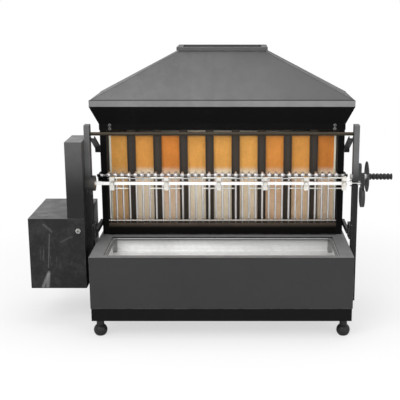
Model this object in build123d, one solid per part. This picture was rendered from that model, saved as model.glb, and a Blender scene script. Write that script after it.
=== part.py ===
"""Charcoal rotisserie grill: a drip tray, a brick-lined firebox, a hood and a chain-driven spit.

Lengths are in millimetres. While the pieces are made, X = 0 is the middle of the base, Y = 0 its front
face and Z = 0 the floor; +Y runs to the back. Each finished piece is then moved so that the origin lies
on the floor under the middle of the whole grill.
"""
from math import asin, cos, pi, radians, sin
import os

from build123d import *

os.makedirs("parts", exist_ok=True)

# Clearances
MOVING_GAP = 0.3        # between pieces that move apart
RUNNING_GAP = 0.05      # radial, a shaft in its bush
LOOSE_GAP = 0.5         # radial, a bolt or shaft through a plain hole
WELD = 1.0              # how deep crossing rods are melted together

# Sheet and plate
SHEET = 2.0
PLATE = 3.0

# Base
BASE_SIDE_MARGIN = 8.0
BASE_HEIGHT = 194.0
PLINTH_HEIGHT = 48.0
PLINTH_INSET = 2.0
FOOT_HEIGHT = 68.0
FOOT_RADIUS = 25.0
FOOT_NECK_RADIUS = 14.0
FOOT_PAD_RADIUS = 15.0
FOOT_COLLAR_RADIUS = 18.0
FOOT_FROM_SIDE = 27.0
FOOT_FROM_FRONT = 45.0
FOOT_STUD_RADIUS = 5.0
FOOT_STUD_LENGTH = 16.0
FOOT_NUT_WIDTH = 17.0
FOOT_NUT_HEIGHT = 8.0

# Drip tray
TRAY_SIDE_RIM = 50.0
TRAY_FRONT_RIM = 28.0
TRAY_OPENING_DEPTH = 244.0
TRAY_LEDGE_DROP = 8.0
TRAY_LEDGE_WIDTH = 12.0
TRAY_EDGE_GAP = 1.5
TRAY_WALL = 1.5
TRAY_FALL = 50.0

# Firebox
FIREBOX_SETBACK = 310.0
FIREBOX_DEPTH = 240.0
FIREBOX_OPENING_HEIGHT = 412.0
SIDE_FRAME_WIDTH = 24.0
LIP_HEIGHT = 45.0
LIP_FOLD = 8.0
SHELF_HEIGHT = 32.0

# Bricks and their rack
BRICK_COUNT = 9
BRICK_PITCH = 102.0
BRICK_GAP = 2.0
BRICK_THICK = 40.0
BRICK_HEIGHT = 349.0
BRICK_SETBACK = 84.0
TALL_BRICKS = {3: 9.0, 7: 4.0}
ROW_END_GAP = 7.0       # between the row's ends and the firebox's sides
BAR_WIDTH = 32.0
BAR_DEPTH = 12.0
BAR_WALL = 2.5
BAR_HEAD_HEIGHT = 12.0
RACK_RISE = 16.0
BOARD_THICK = 45.0
PACKING_WIDTH = 8.0
PACKING_GAP = 1.0

# Charcoal grille
GRILLE_ROD = 8.0
GRILLE_THIN_ROD = 5.0
GRILLE_TOP_ROD = 11.0
GRILLE_SIDE_GAP = 2.1
GRILLE_HALF_COUNT = 17
GRILLE_TOP_ABOVE_SHELF = 212.0
GRILLE_BEND_RADIUS = 13.0
GRILLE_FORWARD = 25.0
GRILLE_THIN_DROP = 25.0
GRILLE_LOW_HEIGHT = 20.0
GRILLE_OVERHANG = 14.0
HOOK_THICK = 9.0
HOOK_WALL = 10.0
HOOK_LENGTH = 34.0
HOOK_HEIGHT = 30.0

# Hood
COLLAR_HEIGHT = 23.0
FLARE_HEIGHT = 69.0
FLARE_OVERHANG = 31.0
RIM_HEIGHT = 22.0
RIM_CORNER = 5.0
CONE_HEIGHT = 178.0
CONE_WALL_RUN = 4.0
FLUE_LENGTH = 300.0
FLUE_DEPTH = 126.0
FLUE_NECK_HEIGHT = 4.0
FLUE_NECK_WALL = 14.0
FLUE_FLANGE_WIDTH = 22.0
FLUE_FLANGE_HEIGHT = 12.0
FLUE_HOLE_RADIUS = 3.5
HOOD_BOLT_FROM_SIDE = 39.0
HOOD_BOLT_SPACING = 14.0
BOLT_HEAD_RADIUS = 4.5
BOLT_HEAD_HEIGHT = 3.0

# Posts
POST_WIDTH = 20.0
POST_DEPTH = 40.0
POST_WALL = 2.5
POST_GAP = 12.0
POST_BOTTOM = 80.0
POST_TOP = 757.0
SPIT_SETBACK = 208.0
SPIT_HEIGHT = 537.0
RAIL_DIAMETER = 13.0
RAIL_DROP = 34.0
STRUT_TOP_DROP = 52.0
STRUT_FALL = 66.0
STRUT_PLATE = 4.0
STRUT_EDGE = 7.0
STRUT_EYE_RADIUS = 12.0
STRUT_OVERLAP = 22.0
BRACKET_HEIGHT = 356.0
BRACKET_BAR = 20.0
BRACKET_PAD_HEIGHT = 56.0
BRACKET_PAD_THICK = 11.0
BRACKET_PAD_REACH = 14.0
SPACER_RADIUS = 12.0
SPACER_HEIGHTS = (140.0, 270.0)
POST_BOLT_RADIUS = 4.0
POST_BOLT_HEAD_RADIUS = 7.0
POST_BOLT_HEAD = 5.0
POST_BOLT_BITE = 8.0

# Spit and forks
SPIT_SQUARE = 12.0
SPIT_JOURNAL_RADIUS = 6.0
SPIT_STOP_RADIUS = 12.0
SPIT_STOP_LENGTH = 5.0
SPIT_STOP_GAP = 3.0
SPIT_TANG = 16.0
FORK_START_GAP = 56.0
FORK_STOP_GAP = 15.0
FORK_SHARES = (0.0, 0.234, 0.46, 0.66, 0.836, 1.0)      # of the way from the first fork to the last
FORK_LENGTH = 16.0
FORK_DEPTH = 24.0
FORK_HEIGHT = 50.0
FORK_HOLE_GAP = 0.1
TINE_RADIUS = 2.8
TINE_OFFSET = 20.0
TINE_TIP_GAP = 14.0     # between the tips of the two closest forks
TINE_POINT = 12.0
CLAMP_SCREW_RADIUS = 3.0
CLAMP_KNOB_RADIUS = 8.0
CLAMP_KNOB_LENGTH = 8.0
CLAMP_STEM = 5.0

# Drive
BOSS_RADIUS = 29.0
BOSS_FACE = 13.0
BUSH_WALL = 3.0
DRIVE_SHAFT_RADIUS = 12.0
DRIVE_TAIL_RADIUS = 8.0
SOCKET_GAP = 0.3
SOCKET_END_GAP = 1.0
OUTBOARD_RADIUS = 17.0
OUTBOARD_LENGTH = 10.0
CHAIN_PITCH = 12.7
CHAIN_LINKS = 52
ROLLER_RADIUS = 3.9
ROLLER_WIDTH = 7.4
LINK_THICK = 1.3
LINK_RADIUS = 4.6
DRIVEN_TEETH = 20
MOTOR_TEETH = 12
TOOTH_TIP = 3.2
TOOTH_GAP = 0.25
TOOTH_SLOPE = 0.62
SPROCKET_THICK = 6.6
SPROCKET_HUB_RADIUS = 17.0
SPROCKET_HUB = 10.0

# Motor box and tower
MOTOR_BOX_WIDTH = 208.0
MOTOR_BOX_FRONT = 127.0
MOTOR_BOX_DEPTH = 324.0
MOTOR_BOX_BOTTOM = 151.0
MOTOR_BOX_HEIGHT = 269.0
TOWER_WIDTH = 62.0
TOWER_HEIGHT = 285.0
CHAIN_SLOT_MARGIN = 8.0
COVER_SCREW_INSET = 12.0
GEARBOX_LENGTH = 62.0
GEARBOX_SIDE = 92.0
GEARBOX_CORNER = 6.0
GEARBOX_FROM_CHAIN = 22.0
MOTOR_RADIUS = 37.0
MOTOR_LENGTH = 125.0
MOTOR_RIB_RADIUS = 40.0
MOTOR_RIB_WIDTH = 4.0
MOTOR_RIB_COUNT = 9
MOTOR_SHAFT_RADIUS = 8.0
STAND_WALL = 4.0
STAND_MARGIN = 12.0
BOX_BOLT_HEIGHTS = (190.0, 380.0)

# Switch and cable gland
SWITCH_FROM_RIGHT = 24.0
SWITCH_FROM_TOP = 46.0
SWITCH_BODY = (26.0, 28.0, 20.0)
SWITCH_BUSH_RADIUS = 6.0
SWITCH_BUSH_LENGTH = 9.0
SWITCH_NUT_WIDTH = 17.0
SWITCH_NUT_HEIGHT = 3.0
SWITCH_BORE_RADIUS = 4.5
SWITCH_PIVOT_RADIUS = 3.0
LEVER_RADIUS = 2.6
LEVER_ROOT_RADIUS = 1.7
LEVER_LENGTH = 26.0
LEVER_TILT = 17.0
GLAND_RADIUS = 11.0
GLAND_LENGTH = 22.0
GLAND_BORE_RADIUS = 4.0
GLAND_FROM_BOTTOM = 45.0
GLAND_FLANGE_RADIUS = 14.0
GLAND_FLANGE = 5.0

# Right-hand latch and handle
LATCH_RISE = 25.0
LATCH_SHAFT_RADIUS = 6.0
LATCH_BOSS_LENGTH = 11.7
LATCH_BOSS_DEPTH = 36.0
LATCH_BOSS_RISE = 50.0
LATCH_BOSS_FALL = 14.0
LATCH_PLATE_THICK = 12.0
LATCH_HEAD_RADIUS = 14.5
LATCH_LOBE_RADIUS = 43.0
LATCH_LOBE_DROP = 74.0
LATCH_HUB_RADIUS = 11.0
LATCH_HUB_LENGTH = 8.0
JOURNAL_END_GAP = 1.0
SPIT_SLOT_RISE = 10.0
GUARD_RADIUS = 57.0
GUARD_THICK = 3.0
GUARD_HUB_RADIUS = 15.0
GUARD_HUB_LENGTH = 6.0
GRIP_RADIUS = 12.0
GRIP_GROOVE_RADIUS = 9.0
GRIP_RIBS = 6
GRIP_RIB_PITCH = 13.5
GRIP_RIB_SHARE = 0.68
GRIP_WALL_END = 6.0
LATCH_NUT_WIDTH = 19.0
LATCH_NUT_HEIGHT = 8.0

# Levels, from the floor up
PLINTH_BOTTOM = FOOT_HEIGHT
BASE_BOTTOM = PLINTH_BOTTOM + PLINTH_HEIGHT
BASE_TOP = BASE_BOTTOM + BASE_HEIGHT
OPENING_TOP = BASE_TOP + FIREBOX_OPENING_HEIGHT
COLLAR_TOP = OPENING_TOP + COLLAR_HEIGHT
RIM_BOTTOM = COLLAR_TOP + FLARE_HEIGHT
RIM_TOP = RIM_BOTTOM + RIM_HEIGHT
CONE_TOP = RIM_TOP + CONE_HEIGHT
FLANGE_BOTTOM = CONE_TOP + FLUE_NECK_HEIGHT
FLANGE_TOP = FLANGE_BOTTOM + FLUE_FLANGE_HEIGHT
SHELF_TOP = BASE_TOP + SHELF_HEIGHT + SHEET

# Places across and along
HALF_ROW = (BRICK_COUNT * BRICK_PITCH - BRICK_GAP) / 2
FIREBOX_INNER = HALF_ROW + ROW_END_GAP
HALF_FIREBOX = FIREBOX_INNER + SHEET
HALF_BASE = HALF_FIREBOX + BASE_SIDE_MARGIN
FIREBOX_BACK = FIREBOX_SETBACK + FIREBOX_DEPTH
FIREBOX_MIDDLE = FIREBOX_SETBACK + FIREBOX_DEPTH / 2
HALF_RIM = HALF_FIREBOX + SHEET + FLARE_OVERHANG
RIM_FRONT = FIREBOX_SETBACK - SHEET - FLARE_OVERHANG
RIM_BACK = FIREBOX_BACK + SHEET + FLARE_OVERHANG
BRICK_FACE = FIREBOX_SETBACK + BRICK_SETBACK
BRICK_BACK = BRICK_FACE + BRICK_THICK
BOARD_BACK = BRICK_BACK + BOARD_THICK
BAR_FRONT = BRICK_FACE - BAR_DEPTH
RACK_TOP = OPENING_TOP + RACK_RISE
GRILLE_Y = FIREBOX_SETBACK + PLATE + MOVING_GAP + 1.5 * GRILLE_ROD - WELD
GRILLE_TOP = SHELF_TOP + GRILLE_TOP_ABOVE_SHELF
GRILLE_TOP_Y = GRILLE_Y - GRILLE_FORWARD
GRILLE_CURL = (GRILLE_TOP_ROD + GRILLE_ROD) / 2 - WELD
GRILLE_AXIS_Z = GRILLE_TOP - GRILLE_CURL
GRILLE_PITCH = (HALF_FIREBOX - SIDE_FRAME_WIDTH - GRILLE_SIDE_GAP - GRILLE_ROD / 2) / GRILLE_HALF_COUNT
POST_INNER = HALF_BASE + POST_GAP
POST_OUTER = POST_INNER + POST_WIDTH
POST_FRONT = SPIT_SETBACK - POST_DEPTH / 2
POST_BACK = SPIT_SETBACK + POST_DEPTH / 2
BOX_RIGHT = -POST_OUTER
BOX_LEFT = BOX_RIGHT - MOTOR_BOX_WIDTH
BOX_BACK = MOTOR_BOX_FRONT + MOTOR_BOX_DEPTH
BOX_TOP = MOTOR_BOX_BOTTOM + MOTOR_BOX_HEIGHT
TOWER_LEFT = BOX_RIGHT - TOWER_WIDTH
TOWER_TOP = BOX_TOP + TOWER_HEIGHT
TOWER_BACK = 2 * SPIT_SETBACK - MOTOR_BOX_FRONT
CHAIN_X = BOX_RIGHT - TOWER_WIDTH / 2
SOCKET_MOUTH = -(POST_INNER - BOSS_FACE)
SPIT_STOP_END = POST_INNER - SPIT_STOP_GAP
FIRST_FORK = SOCKET_MOUTH + FORK_START_GAP + FORK_LENGTH / 2
LAST_FORK = SPIT_STOP_END - SPIT_STOP_LENGTH - FORK_STOP_GAP - FORK_LENGTH / 2
FORK_PLACES = [FIRST_FORK + share * (LAST_FORK - FIRST_FORK) for share in FORK_SHARES]
CLOSEST_FORKS = min(after - before for before, after in zip(FORK_PLACES, FORK_PLACES[1:]))
TINE_REACH = (CLOSEST_FORKS - FORK_LENGTH - TINE_TIP_GAP) / 2
LATCH_HEIGHT = SPIT_HEIGHT + LATCH_RISE
LATCH_BOSS_END = POST_OUTER + LATCH_BOSS_LENGTH
LATCH_PLATE_START = LATCH_BOSS_END + MOVING_GAP
LATCH_PLATE_END = LATCH_PLATE_START + LATCH_PLATE_THICK
GUARD_START = LATCH_PLATE_END + LATCH_HUB_LENGTH
GRIP_START = GUARD_START + GUARD_THICK + GUARD_HUB_LENGTH
GRIP_END = GRIP_START + GRIP_RIBS * GRIP_RIB_PITCH + GRIP_WALL_END

# The whole grill's middle, which becomes the origin
PLAN_MIDDLE_X = (BOX_LEFT + GRIP_END) / 2
PLAN_MIDDLE_Y = (0.0 + RIM_BACK) / 2
PLAN_SHIFT = Location((-PLAN_MIDDLE_X, -PLAN_MIDDLE_Y, 0))


def pitch_radius(teeth):
    """Radius of the circle that the chain's rollers run on."""
    return CHAIN_PITCH / (2 * sin(pi / teeth))


def chain_centres():
    """Distance between the two sprocket shafts that takes up the whole chain."""
    difference = DRIVEN_TEETH - MOTOR_TEETH
    straight = (CHAIN_LINKS - (DRIVEN_TEETH + MOTOR_TEETH) / 2) / 2
    correction = (difference / (2 * pi)) ** 2 / (2 * straight)
    return (straight - correction) * CHAIN_PITCH


# The chain's pitch line: two arcs and the two straight runs that join them
DRIVEN_RADIUS = pitch_radius(DRIVEN_TEETH)
MOTOR_WHEEL_RADIUS = pitch_radius(MOTOR_TEETH)
CHAIN_CENTRES = chain_centres()
CHAIN_LEAN = asin((DRIVEN_RADIUS - MOTOR_WHEEL_RADIUS) / CHAIN_CENTRES)
CHAIN_RUN = CHAIN_CENTRES * cos(CHAIN_LEAN)
CHAIN_OVER = DRIVEN_RADIUS * (pi + 2 * CHAIN_LEAN)
CHAIN_UNDER = MOTOR_WHEEL_RADIUS * (pi - 2 * CHAIN_LEAN)
CHAIN_LENGTH = CHAIN_OVER + CHAIN_UNDER + 2 * CHAIN_RUN

MOTOR_SHAFT_HEIGHT = SPIT_HEIGHT - CHAIN_CENTRES
GEARBOX_RIGHT = CHAIN_X - GEARBOX_FROM_CHAIN
GEARBOX_LEFT = GEARBOX_RIGHT - GEARBOX_LENGTH
SHOULDER_X = CHAIN_X + SPROCKET_THICK / 2 + SPROCKET_HUB


def block(x0, x1, y0, y1, z0, z1):
    """A box between two corners."""
    middle = Pos((x0 + x1) / 2, (y0 + y1) / 2, (z0 + z1) / 2)
    return middle * Box(abs(x1 - x0), abs(y1 - y0), abs(z1 - z0))


def bar_x(x0, x1, y, z, radius):
    """A round bar along X."""
    return Pos((x0 + x1) / 2, y, z) * Rot(0, 90, 0) * Cylinder(radius, abs(x1 - x0))


def bar_y(x, y0, y1, z, radius):
    """A round bar along Y."""
    return Pos(x, (y0 + y1) / 2, z) * Rot(90, 0, 0) * Cylinder(radius, abs(y1 - y0))


def bar_z(x, y, z0, z1, radius):
    """A round bar along Z."""
    return Pos(x, y, (z0 + z1) / 2) * Cylinder(radius, abs(z1 - z0))


def hexagon_x(x0, x1, y, z, width):
    """A hexagonal bar along X, width across its flats."""
    plane = Plane((x0, y, z), x_dir=(0, 1, 0), z_dir=(1, 0, 0))
    return extrude(plane * RegularPolygon(width / 2, 6, major_radius=False), x1 - x0)


def section_x(x0, x1, points):
    """A profile in the Y-Z plane, given as (y, z) points, run from x0 to x1."""
    face = make_face(Polyline(*[(x0, y, z) for y, z in points], close=True))
    return extrude(face, x1 - x0, dir=(1, 0, 0))


def ring_of_walls(half_x, y0, y1, z0, z1, wall):
    """Four upright walls round a rectangle, open above and below."""
    outer = block(-half_x, half_x, y0, y1, z0, z1)
    return outer - block(-half_x + wall, half_x - wall, y0 + wall, y1 - wall, z0, z1)


def sloped_box(half_low, low_y, low_z, half_high, high_y, high_z):
    """A solid between two level rectangles, each given by half its width and its front and back."""
    def level(half, span, z):
        middle = (span[0] + span[1]) / 2
        return Pos(0, middle, z) * Rectangle(2 * half, span[1] - span[0])
    return loft([level(half_low, low_y, low_z), level(half_high, high_y, high_z)], ruled=True)


def sloped_walls(half_low, low_y, low_z, half_high, high_y, high_z, run):
    """The walls alone of a sloped box, each as thick as run when measured level."""
    outer = sloped_box(half_low, low_y, low_z, half_high, high_y, high_z)
    low_inner = (low_y[0] + run, low_y[1] - run)
    high_inner = (high_y[0] + run, high_y[1] - run)
    return outer - sloped_box(half_low - run, low_inner, low_z, half_high - run, high_inner, high_z)


def both_sides(shape):
    """A shape and its mirror image on the other side of the base's middle."""
    return [shape, mirror(shape, about=Plane.YZ)]


def save(node, *shapes):
    """Write one sub-part, moved to the whole grill's origin."""
    solids = [solid.moved(PLAN_SHIFT) for shape in shapes for solid in shape.solids()]
    export_step(solids[0] if len(solids) == 1 else Compound(children=solids), f"parts/{node}.step")


def foot_places():
    """The X and Y of each foot."""
    x = HALF_BASE - FOOT_FROM_SIDE
    return [(side * x, y) for side in (-1, 1) for y in (FOOT_FROM_FRONT, FIREBOX_BACK - FOOT_FROM_FRONT)]


def ball_feet():
    """Turned feet: a pad, a ball, a neck and a collar, with a stud into the plinth."""
    ball_middle = FOOT_RADIUS * 0.8
    neck_low = ball_middle + FOOT_RADIUS * 0.8
    neck_high = FOOT_HEIGHT - FOOT_COLLAR_RADIUS * 0.5
    outline = Polyline((0, FOOT_HEIGHT), (0, 0), (FOOT_PAD_RADIUS, 0))
    ball = ThreePointArc((FOOT_PAD_RADIUS, 0), (FOOT_RADIUS, ball_middle), (FOOT_NECK_RADIUS, neck_low))
    neck = Polyline((FOOT_NECK_RADIUS, neck_low), (FOOT_NECK_RADIUS, neck_high),
                    (FOOT_COLLAR_RADIUS, FOOT_HEIGHT - FOOT_COLLAR_RADIUS * 0.25),
                    (FOOT_COLLAR_RADIUS, FOOT_HEIGHT), (0, FOOT_HEIGHT))
    foot = revolve(Plane.XZ * make_face(outline + ball + neck), Axis.Z)
    foot += bar_z(0, 0, FOOT_HEIGHT - WELD, FOOT_HEIGHT + FOOT_STUD_LENGTH, FOOT_STUD_RADIUS)
    save("ball_feet", *[Pos(x, y, 0) * foot for x, y in foot_places()])


def foot_nuts():
    """Nuts that hold the feet inside the plinth."""
    bottom = PLINTH_BOTTOM + SHEET
    nut = extrude(RegularPolygon(FOOT_NUT_WIDTH / 2, 6, major_radius=False), FOOT_NUT_HEIGHT)
    nut -= Cylinder(FOOT_STUD_RADIUS + RUNNING_GAP, 4 * FOOT_NUT_HEIGHT)
    save("foot_nuts", *[Pos(x, y, bottom) * nut for x, y in foot_places()])


def base_plinth():
    """Shallow pan under the base box, drilled for the feet."""
    half = HALF_BASE - PLINTH_INSET
    front, back = PLINTH_INSET, FIREBOX_BACK - PLINTH_INSET
    plinth = ring_of_walls(half, front, back, PLINTH_BOTTOM, BASE_BOTTOM, SHEET)
    plinth += block(-half, half, front, back, PLINTH_BOTTOM, PLINTH_BOTTOM + SHEET)
    for x, y in foot_places():
        plinth -= bar_z(x, y, PLINTH_BOTTOM - SHEET, PLINTH_BOTTOM + 2 * SHEET, FOOT_STUD_RADIUS + LOOSE_GAP)
    save("base_plinth", plinth)


def tray_edges(inset):
    """Half the width, the front and the back of the tray opening, drawn in by inset on every side."""
    half = HALF_BASE - TRAY_SIDE_RIM - inset
    return half, TRAY_FRONT_RIM + inset, TRAY_FRONT_RIM + TRAY_OPENING_DEPTH - inset


def tray_bars(outer, inner, z0, z1):
    """The front, back, right and left bar of a frame between two insets from the tray opening's edge."""
    half, front, back = tray_edges(outer)
    hole_half, hole_front, hole_back = tray_edges(inner)
    side = block(hole_half, half, hole_front, hole_back, z0, z1)
    return [block(-half, half, front, hole_front, z0, z1), block(-half, half, hole_back, back, z0, z1),
            *both_sides(side)]


def base_box():
    """Ring of walls with a closed top behind, and plates welded in as the tray's rim, upstand and ledge.

    Its back is flush with the firebox's back.
    """
    top_sheet = BASE_TOP - SHEET
    ledge = BASE_TOP - TRAY_LEDGE_DROP
    inner = HALF_BASE - SHEET
    half, front, back = tray_edges(0)
    walls = ring_of_walls(HALF_BASE, 0, FIREBOX_BACK, BASE_BOTTOM, BASE_TOP, SHEET)
    walls += block(-HALF_BASE, HALF_BASE, back, FIREBOX_BACK, top_sheet, BASE_TOP)
    for side in (-1, 1):
        for z in SPACER_HEIGHTS:
            x = side * (HALF_BASE - SHEET / 2)
            walls -= bar_x(x - SHEET, x + SHEET, SPIT_SETBACK, z, POST_BOLT_RADIUS + LOOSE_GAP)
    front_rim = block(-inner, inner, SHEET, front, top_sheet, BASE_TOP)
    side_rim = block(half, inner, front, back, top_sheet, BASE_TOP)
    upstand = tray_bars(-SHEET, 0, ledge - SHEET, top_sheet)
    ledge_bars = tray_bars(0, TRAY_LEDGE_WIDTH, ledge - SHEET, ledge)
    save("base_box", walls, front_rim, *both_sides(side_rim), *upstand, *ledge_bars)


def drip_tray():
    """Stainless pan with square welded corners, whose flange rests on the ledge of the base."""
    flange_bottom = BASE_TOP - TRAY_LEDGE_DROP + MOVING_GAP
    flange_top = flange_bottom + TRAY_WALL
    bottom = flange_bottom - TRAY_FALL
    wall_inset = TRAY_LEDGE_WIDTH + TRAY_EDGE_GAP
    flange = tray_bars(TRAY_EDGE_GAP, wall_inset, flange_bottom, flange_top)
    walls = tray_bars(wall_inset, wall_inset + TRAY_WALL, bottom, flange_top)
    half, front, back = tray_edges(wall_inset + TRAY_WALL)
    floor = block(-half, half, front, back, bottom, bottom + TRAY_WALL)
    save("drip_tray", floor, *walls, *flange)


def firebox_shell():
    """Back, sides and floor of the firebox in one folded sheet, open in front and above."""
    front = FIREBOX_SETBACK + PLATE
    shell = block(-HALF_FIREBOX, HALF_FIREBOX, front, FIREBOX_BACK, BASE_TOP, COLLAR_TOP)
    shell -= block(-FIREBOX_INNER, FIREBOX_INNER, front, FIREBOX_BACK - SHEET, BASE_TOP + SHEET, COLLAR_TOP)
    save("firebox_shell", shell)


def side_frames():
    """Flat black frames that edge the firebox's open front."""
    inner = HALF_FIREBOX - SIDE_FRAME_WIDTH
    frame = block(inner, HALF_FIREBOX, FIREBOX_SETBACK, FIREBOX_SETBACK + PLATE, BASE_TOP, COLLAR_TOP)
    right, left = both_sides(frame)
    save("side_frame_right", right)
    save("side_frame_left", left)


def firebox_lip():
    """Low plate across the front that keeps the embers in, with a fold at its foot."""
    half = HALF_FIREBOX - SIDE_FRAME_WIDTH
    lip = block(-half, half, FIREBOX_SETBACK, FIREBOX_SETBACK + PLATE, BASE_TOP, BASE_TOP + LIP_HEIGHT)
    fold_front = FIREBOX_SETBACK - LIP_FOLD
    lip += block(-half, half, fold_front, FIREBOX_SETBACK, BASE_TOP, BASE_TOP + SHEET)
    save("firebox_lip", lip)


def brick_x(index):
    """The X of one brick's middle."""
    return (index - (BRICK_COUNT - 1) / 2) * BRICK_PITCH


def packing_outer():
    """The X of the outer side of the packing strips."""
    return brick_x(BRICK_COUNT - 1) + BAR_WIDTH + PACKING_WIDTH / 2


def firebricks():
    """Upright bricks, side by side on the shelf."""
    bricks = []
    for index in range(BRICK_COUNT):
        x = brick_x(index)
        half = (BRICK_PITCH - BRICK_GAP) / 2
        height = BRICK_HEIGHT + TALL_BRICKS.get(index, 0.0)
        bricks.append(block(x - half, x + half, BRICK_FACE, BRICK_BACK, SHELF_TOP, SHELF_TOP + height))
    save("firebricks", *bricks)


def brick_rack():
    """Shelf, backing and channel bars that hold the bricks."""
    head = RACK_TOP - BAR_HEAD_HEIGHT
    rack = block(-FIREBOX_INNER, FIREBOX_INNER, FIREBOX_SETBACK + PLATE, BOARD_BACK + SHEET,
                 SHELF_TOP - SHEET, SHELF_TOP)
    rack += block(-FIREBOX_INNER, FIREBOX_INNER, BOARD_BACK, BOARD_BACK + SHEET, SHELF_TOP, RACK_TOP)
    rack += block(-FIREBOX_INNER, FIREBOX_INNER, BAR_FRONT, BRICK_FACE, head, RACK_TOP)
    for index in range(BRICK_COUNT - 1):
        x = brick_x(index) + BRICK_PITCH / 2
        bar = block(x - BAR_WIDTH / 2, x + BAR_WIDTH / 2, BAR_FRONT, BRICK_FACE, SHELF_TOP, head)
        inner = BAR_WIDTH / 2 - BAR_WALL
        bar -= block(x - inner, x + inner, BAR_FRONT, BRICK_FACE - BAR_WALL, SHELF_TOP, head)
        rack += bar
    end = block(packing_outer() + PACKING_GAP, FIREBOX_INNER, BAR_FRONT, BRICK_FACE, SHELF_TOP, head)
    for shape in both_sides(end):
        rack += shape
    save("brick_rack", rack)


def insulating_board():
    """Board between the bricks and the rack's backing."""
    top = SHELF_TOP + BRICK_HEIGHT
    save("insulating_board", block(-HALF_ROW, HALF_ROW, BRICK_BACK, BOARD_BACK, SHELF_TOP, top))


def packing_strips():
    """Pale fibre strips that close the ends of the brick row."""
    outer = packing_outer()
    strip = block(outer - PACKING_WIDTH, outer, BAR_FRONT + BAR_WALL, BRICK_FACE,
                  SHELF_TOP, SHELF_TOP + BRICK_HEIGHT)
    save("packing_strips", *both_sides(strip))


def charcoal_grille():
    """Upright rods bent forward and curled over a top rod, with two cross rods welded in front of them."""
    foot = SHELF_TOP + MOVING_GAP
    bend_low = (0, GRILLE_Y, GRILLE_TOP - GRILLE_BEND_RADIUS)
    bend_high = (0, GRILLE_Y - GRILLE_BEND_RADIUS, GRILLE_TOP)
    knee = GRILLE_BEND_RADIUS * (1 - sin(radians(45)))
    bend_middle = (0, GRILLE_Y - knee, GRILLE_TOP - knee)
    route = Line((0, GRILLE_Y, foot), bend_low)
    route += ThreePointArc(bend_low, bend_middle, bend_high)
    curl_top = (0, GRILLE_TOP_Y, GRILLE_TOP)
    curl_end = (0, GRILLE_TOP_Y - GRILLE_CURL, GRILLE_AXIS_Z)
    slant = GRILLE_CURL * sin(radians(45))
    route += Line(bend_high, curl_top)
    route += ThreePointArc(curl_top, (0, GRILLE_TOP_Y - slant, GRILLE_AXIS_Z + slant), curl_end)
    upright = sweep(Plane((0, GRILLE_Y, foot)) * Circle(GRILLE_ROD / 2), path=route)
    end = GRILLE_HALF_COUNT * GRILLE_PITCH + GRILLE_ROD
    reach = HALF_FIREBOX + GRILLE_OVERHANG
    weld_y = GRILLE_Y - GRILLE_ROD / 2 + WELD
    thin_radius = GRILLE_THIN_ROD / 2
    low = bar_x(-end, end, weld_y - GRILLE_ROD / 2, SHELF_TOP + GRILLE_LOW_HEIGHT, GRILLE_ROD / 2)
    thin = bar_x(-end, end, weld_y - thin_radius, GRILLE_TOP - GRILLE_THIN_DROP, thin_radius)
    grille = bar_x(-reach, reach, GRILLE_TOP_Y, GRILLE_AXIS_Z, GRILLE_TOP_ROD / 2)
    uprights = []
    for index in range(-GRILLE_HALF_COUNT, GRILLE_HALF_COUNT + 1):
        uprights.append(Pos(index * GRILLE_PITCH, 0, 0) * upright)
    save("charcoal_grille", grille.fuse(low, thin, *uprights))


def grille_hooks():
    """Pointed plates on the firebox's sides with a notch for the end of the grille's top rod."""
    notch = GRILLE_TOP_ROD / 2 + MOVING_GAP
    low, high = GRILLE_AXIS_Z - HOOK_HEIGHT, GRILLE_AXIS_Z + notch
    front = GRILLE_TOP_Y - notch - HOOK_WALL
    back = FIREBOX_SETBACK + HOOK_LENGTH
    tip = GRILLE_AXIS_Z - notch
    outline = [(back, low), (GRILLE_TOP_Y, low), (front, tip), (front, high), (back, high)]
    hook = section_x(HALF_FIREBOX, HALF_FIREBOX + HOOK_THICK, outline)
    hook -= bar_x(HALF_FIREBOX, HALF_FIREBOX + HOOK_THICK, GRILLE_TOP_Y, GRILLE_AXIS_Z, notch)
    hook -= block(HALF_FIREBOX, HALF_FIREBOX + HOOK_THICK, GRILLE_TOP_Y - notch, GRILLE_TOP_Y + notch,
                  GRILLE_AXIS_Z, high)
    save("grille_hooks", *both_sides(hook))


def hood_flare():
    """Band round the top of the firebox, and above it the black walls that lean outwards."""
    half = HALF_FIREBOX + SHEET
    collar = (FIREBOX_SETBACK - SHEET, FIREBOX_BACK + SHEET)
    rim = (RIM_FRONT, RIM_BACK)
    flare = ring_of_walls(half, *collar, OPENING_TOP, COLLAR_TOP, SHEET)
    flare += sloped_walls(half, collar, COLLAR_TOP, HALF_RIM, rim, RIM_BOTTOM, SHEET)
    save("hood_flare", flare)


def hood_bolts():
    """Bolt heads at the corners of the band, in front and behind."""
    heads = []
    low = OPENING_TOP + (COLLAR_HEIGHT - HOOD_BOLT_SPACING) / 2
    for side in (-1, 1):
        x = side * (HALF_FIREBOX - HOOD_BOLT_FROM_SIDE)
        for z in (low, low + HOOD_BOLT_SPACING):
            front = FIREBOX_SETBACK - SHEET
            back = FIREBOX_BACK + SHEET
            heads.append(bar_y(x, front - BOLT_HEAD_HEIGHT, front, z, BOLT_HEAD_RADIUS))
            heads.append(bar_y(x, back, back + BOLT_HEAD_HEIGHT, z, BOLT_HEAD_RADIUS))
    save("hood_bolts", *heads)


def hood_rim():
    """Upright band between the flare and the cone, with rounded corners."""
    def drawn_in(inset):
        half, front, back = HALF_RIM - inset, RIM_FRONT + inset, RIM_BACK - inset
        solid = block(-half, half, front, back, RIM_BOTTOM, RIM_TOP)
        return fillet(solid.edges().filter_by(Axis.Z), RIM_CORNER - inset)
    save("hood_rim", drawn_in(0) - drawn_in(SHEET))


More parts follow.
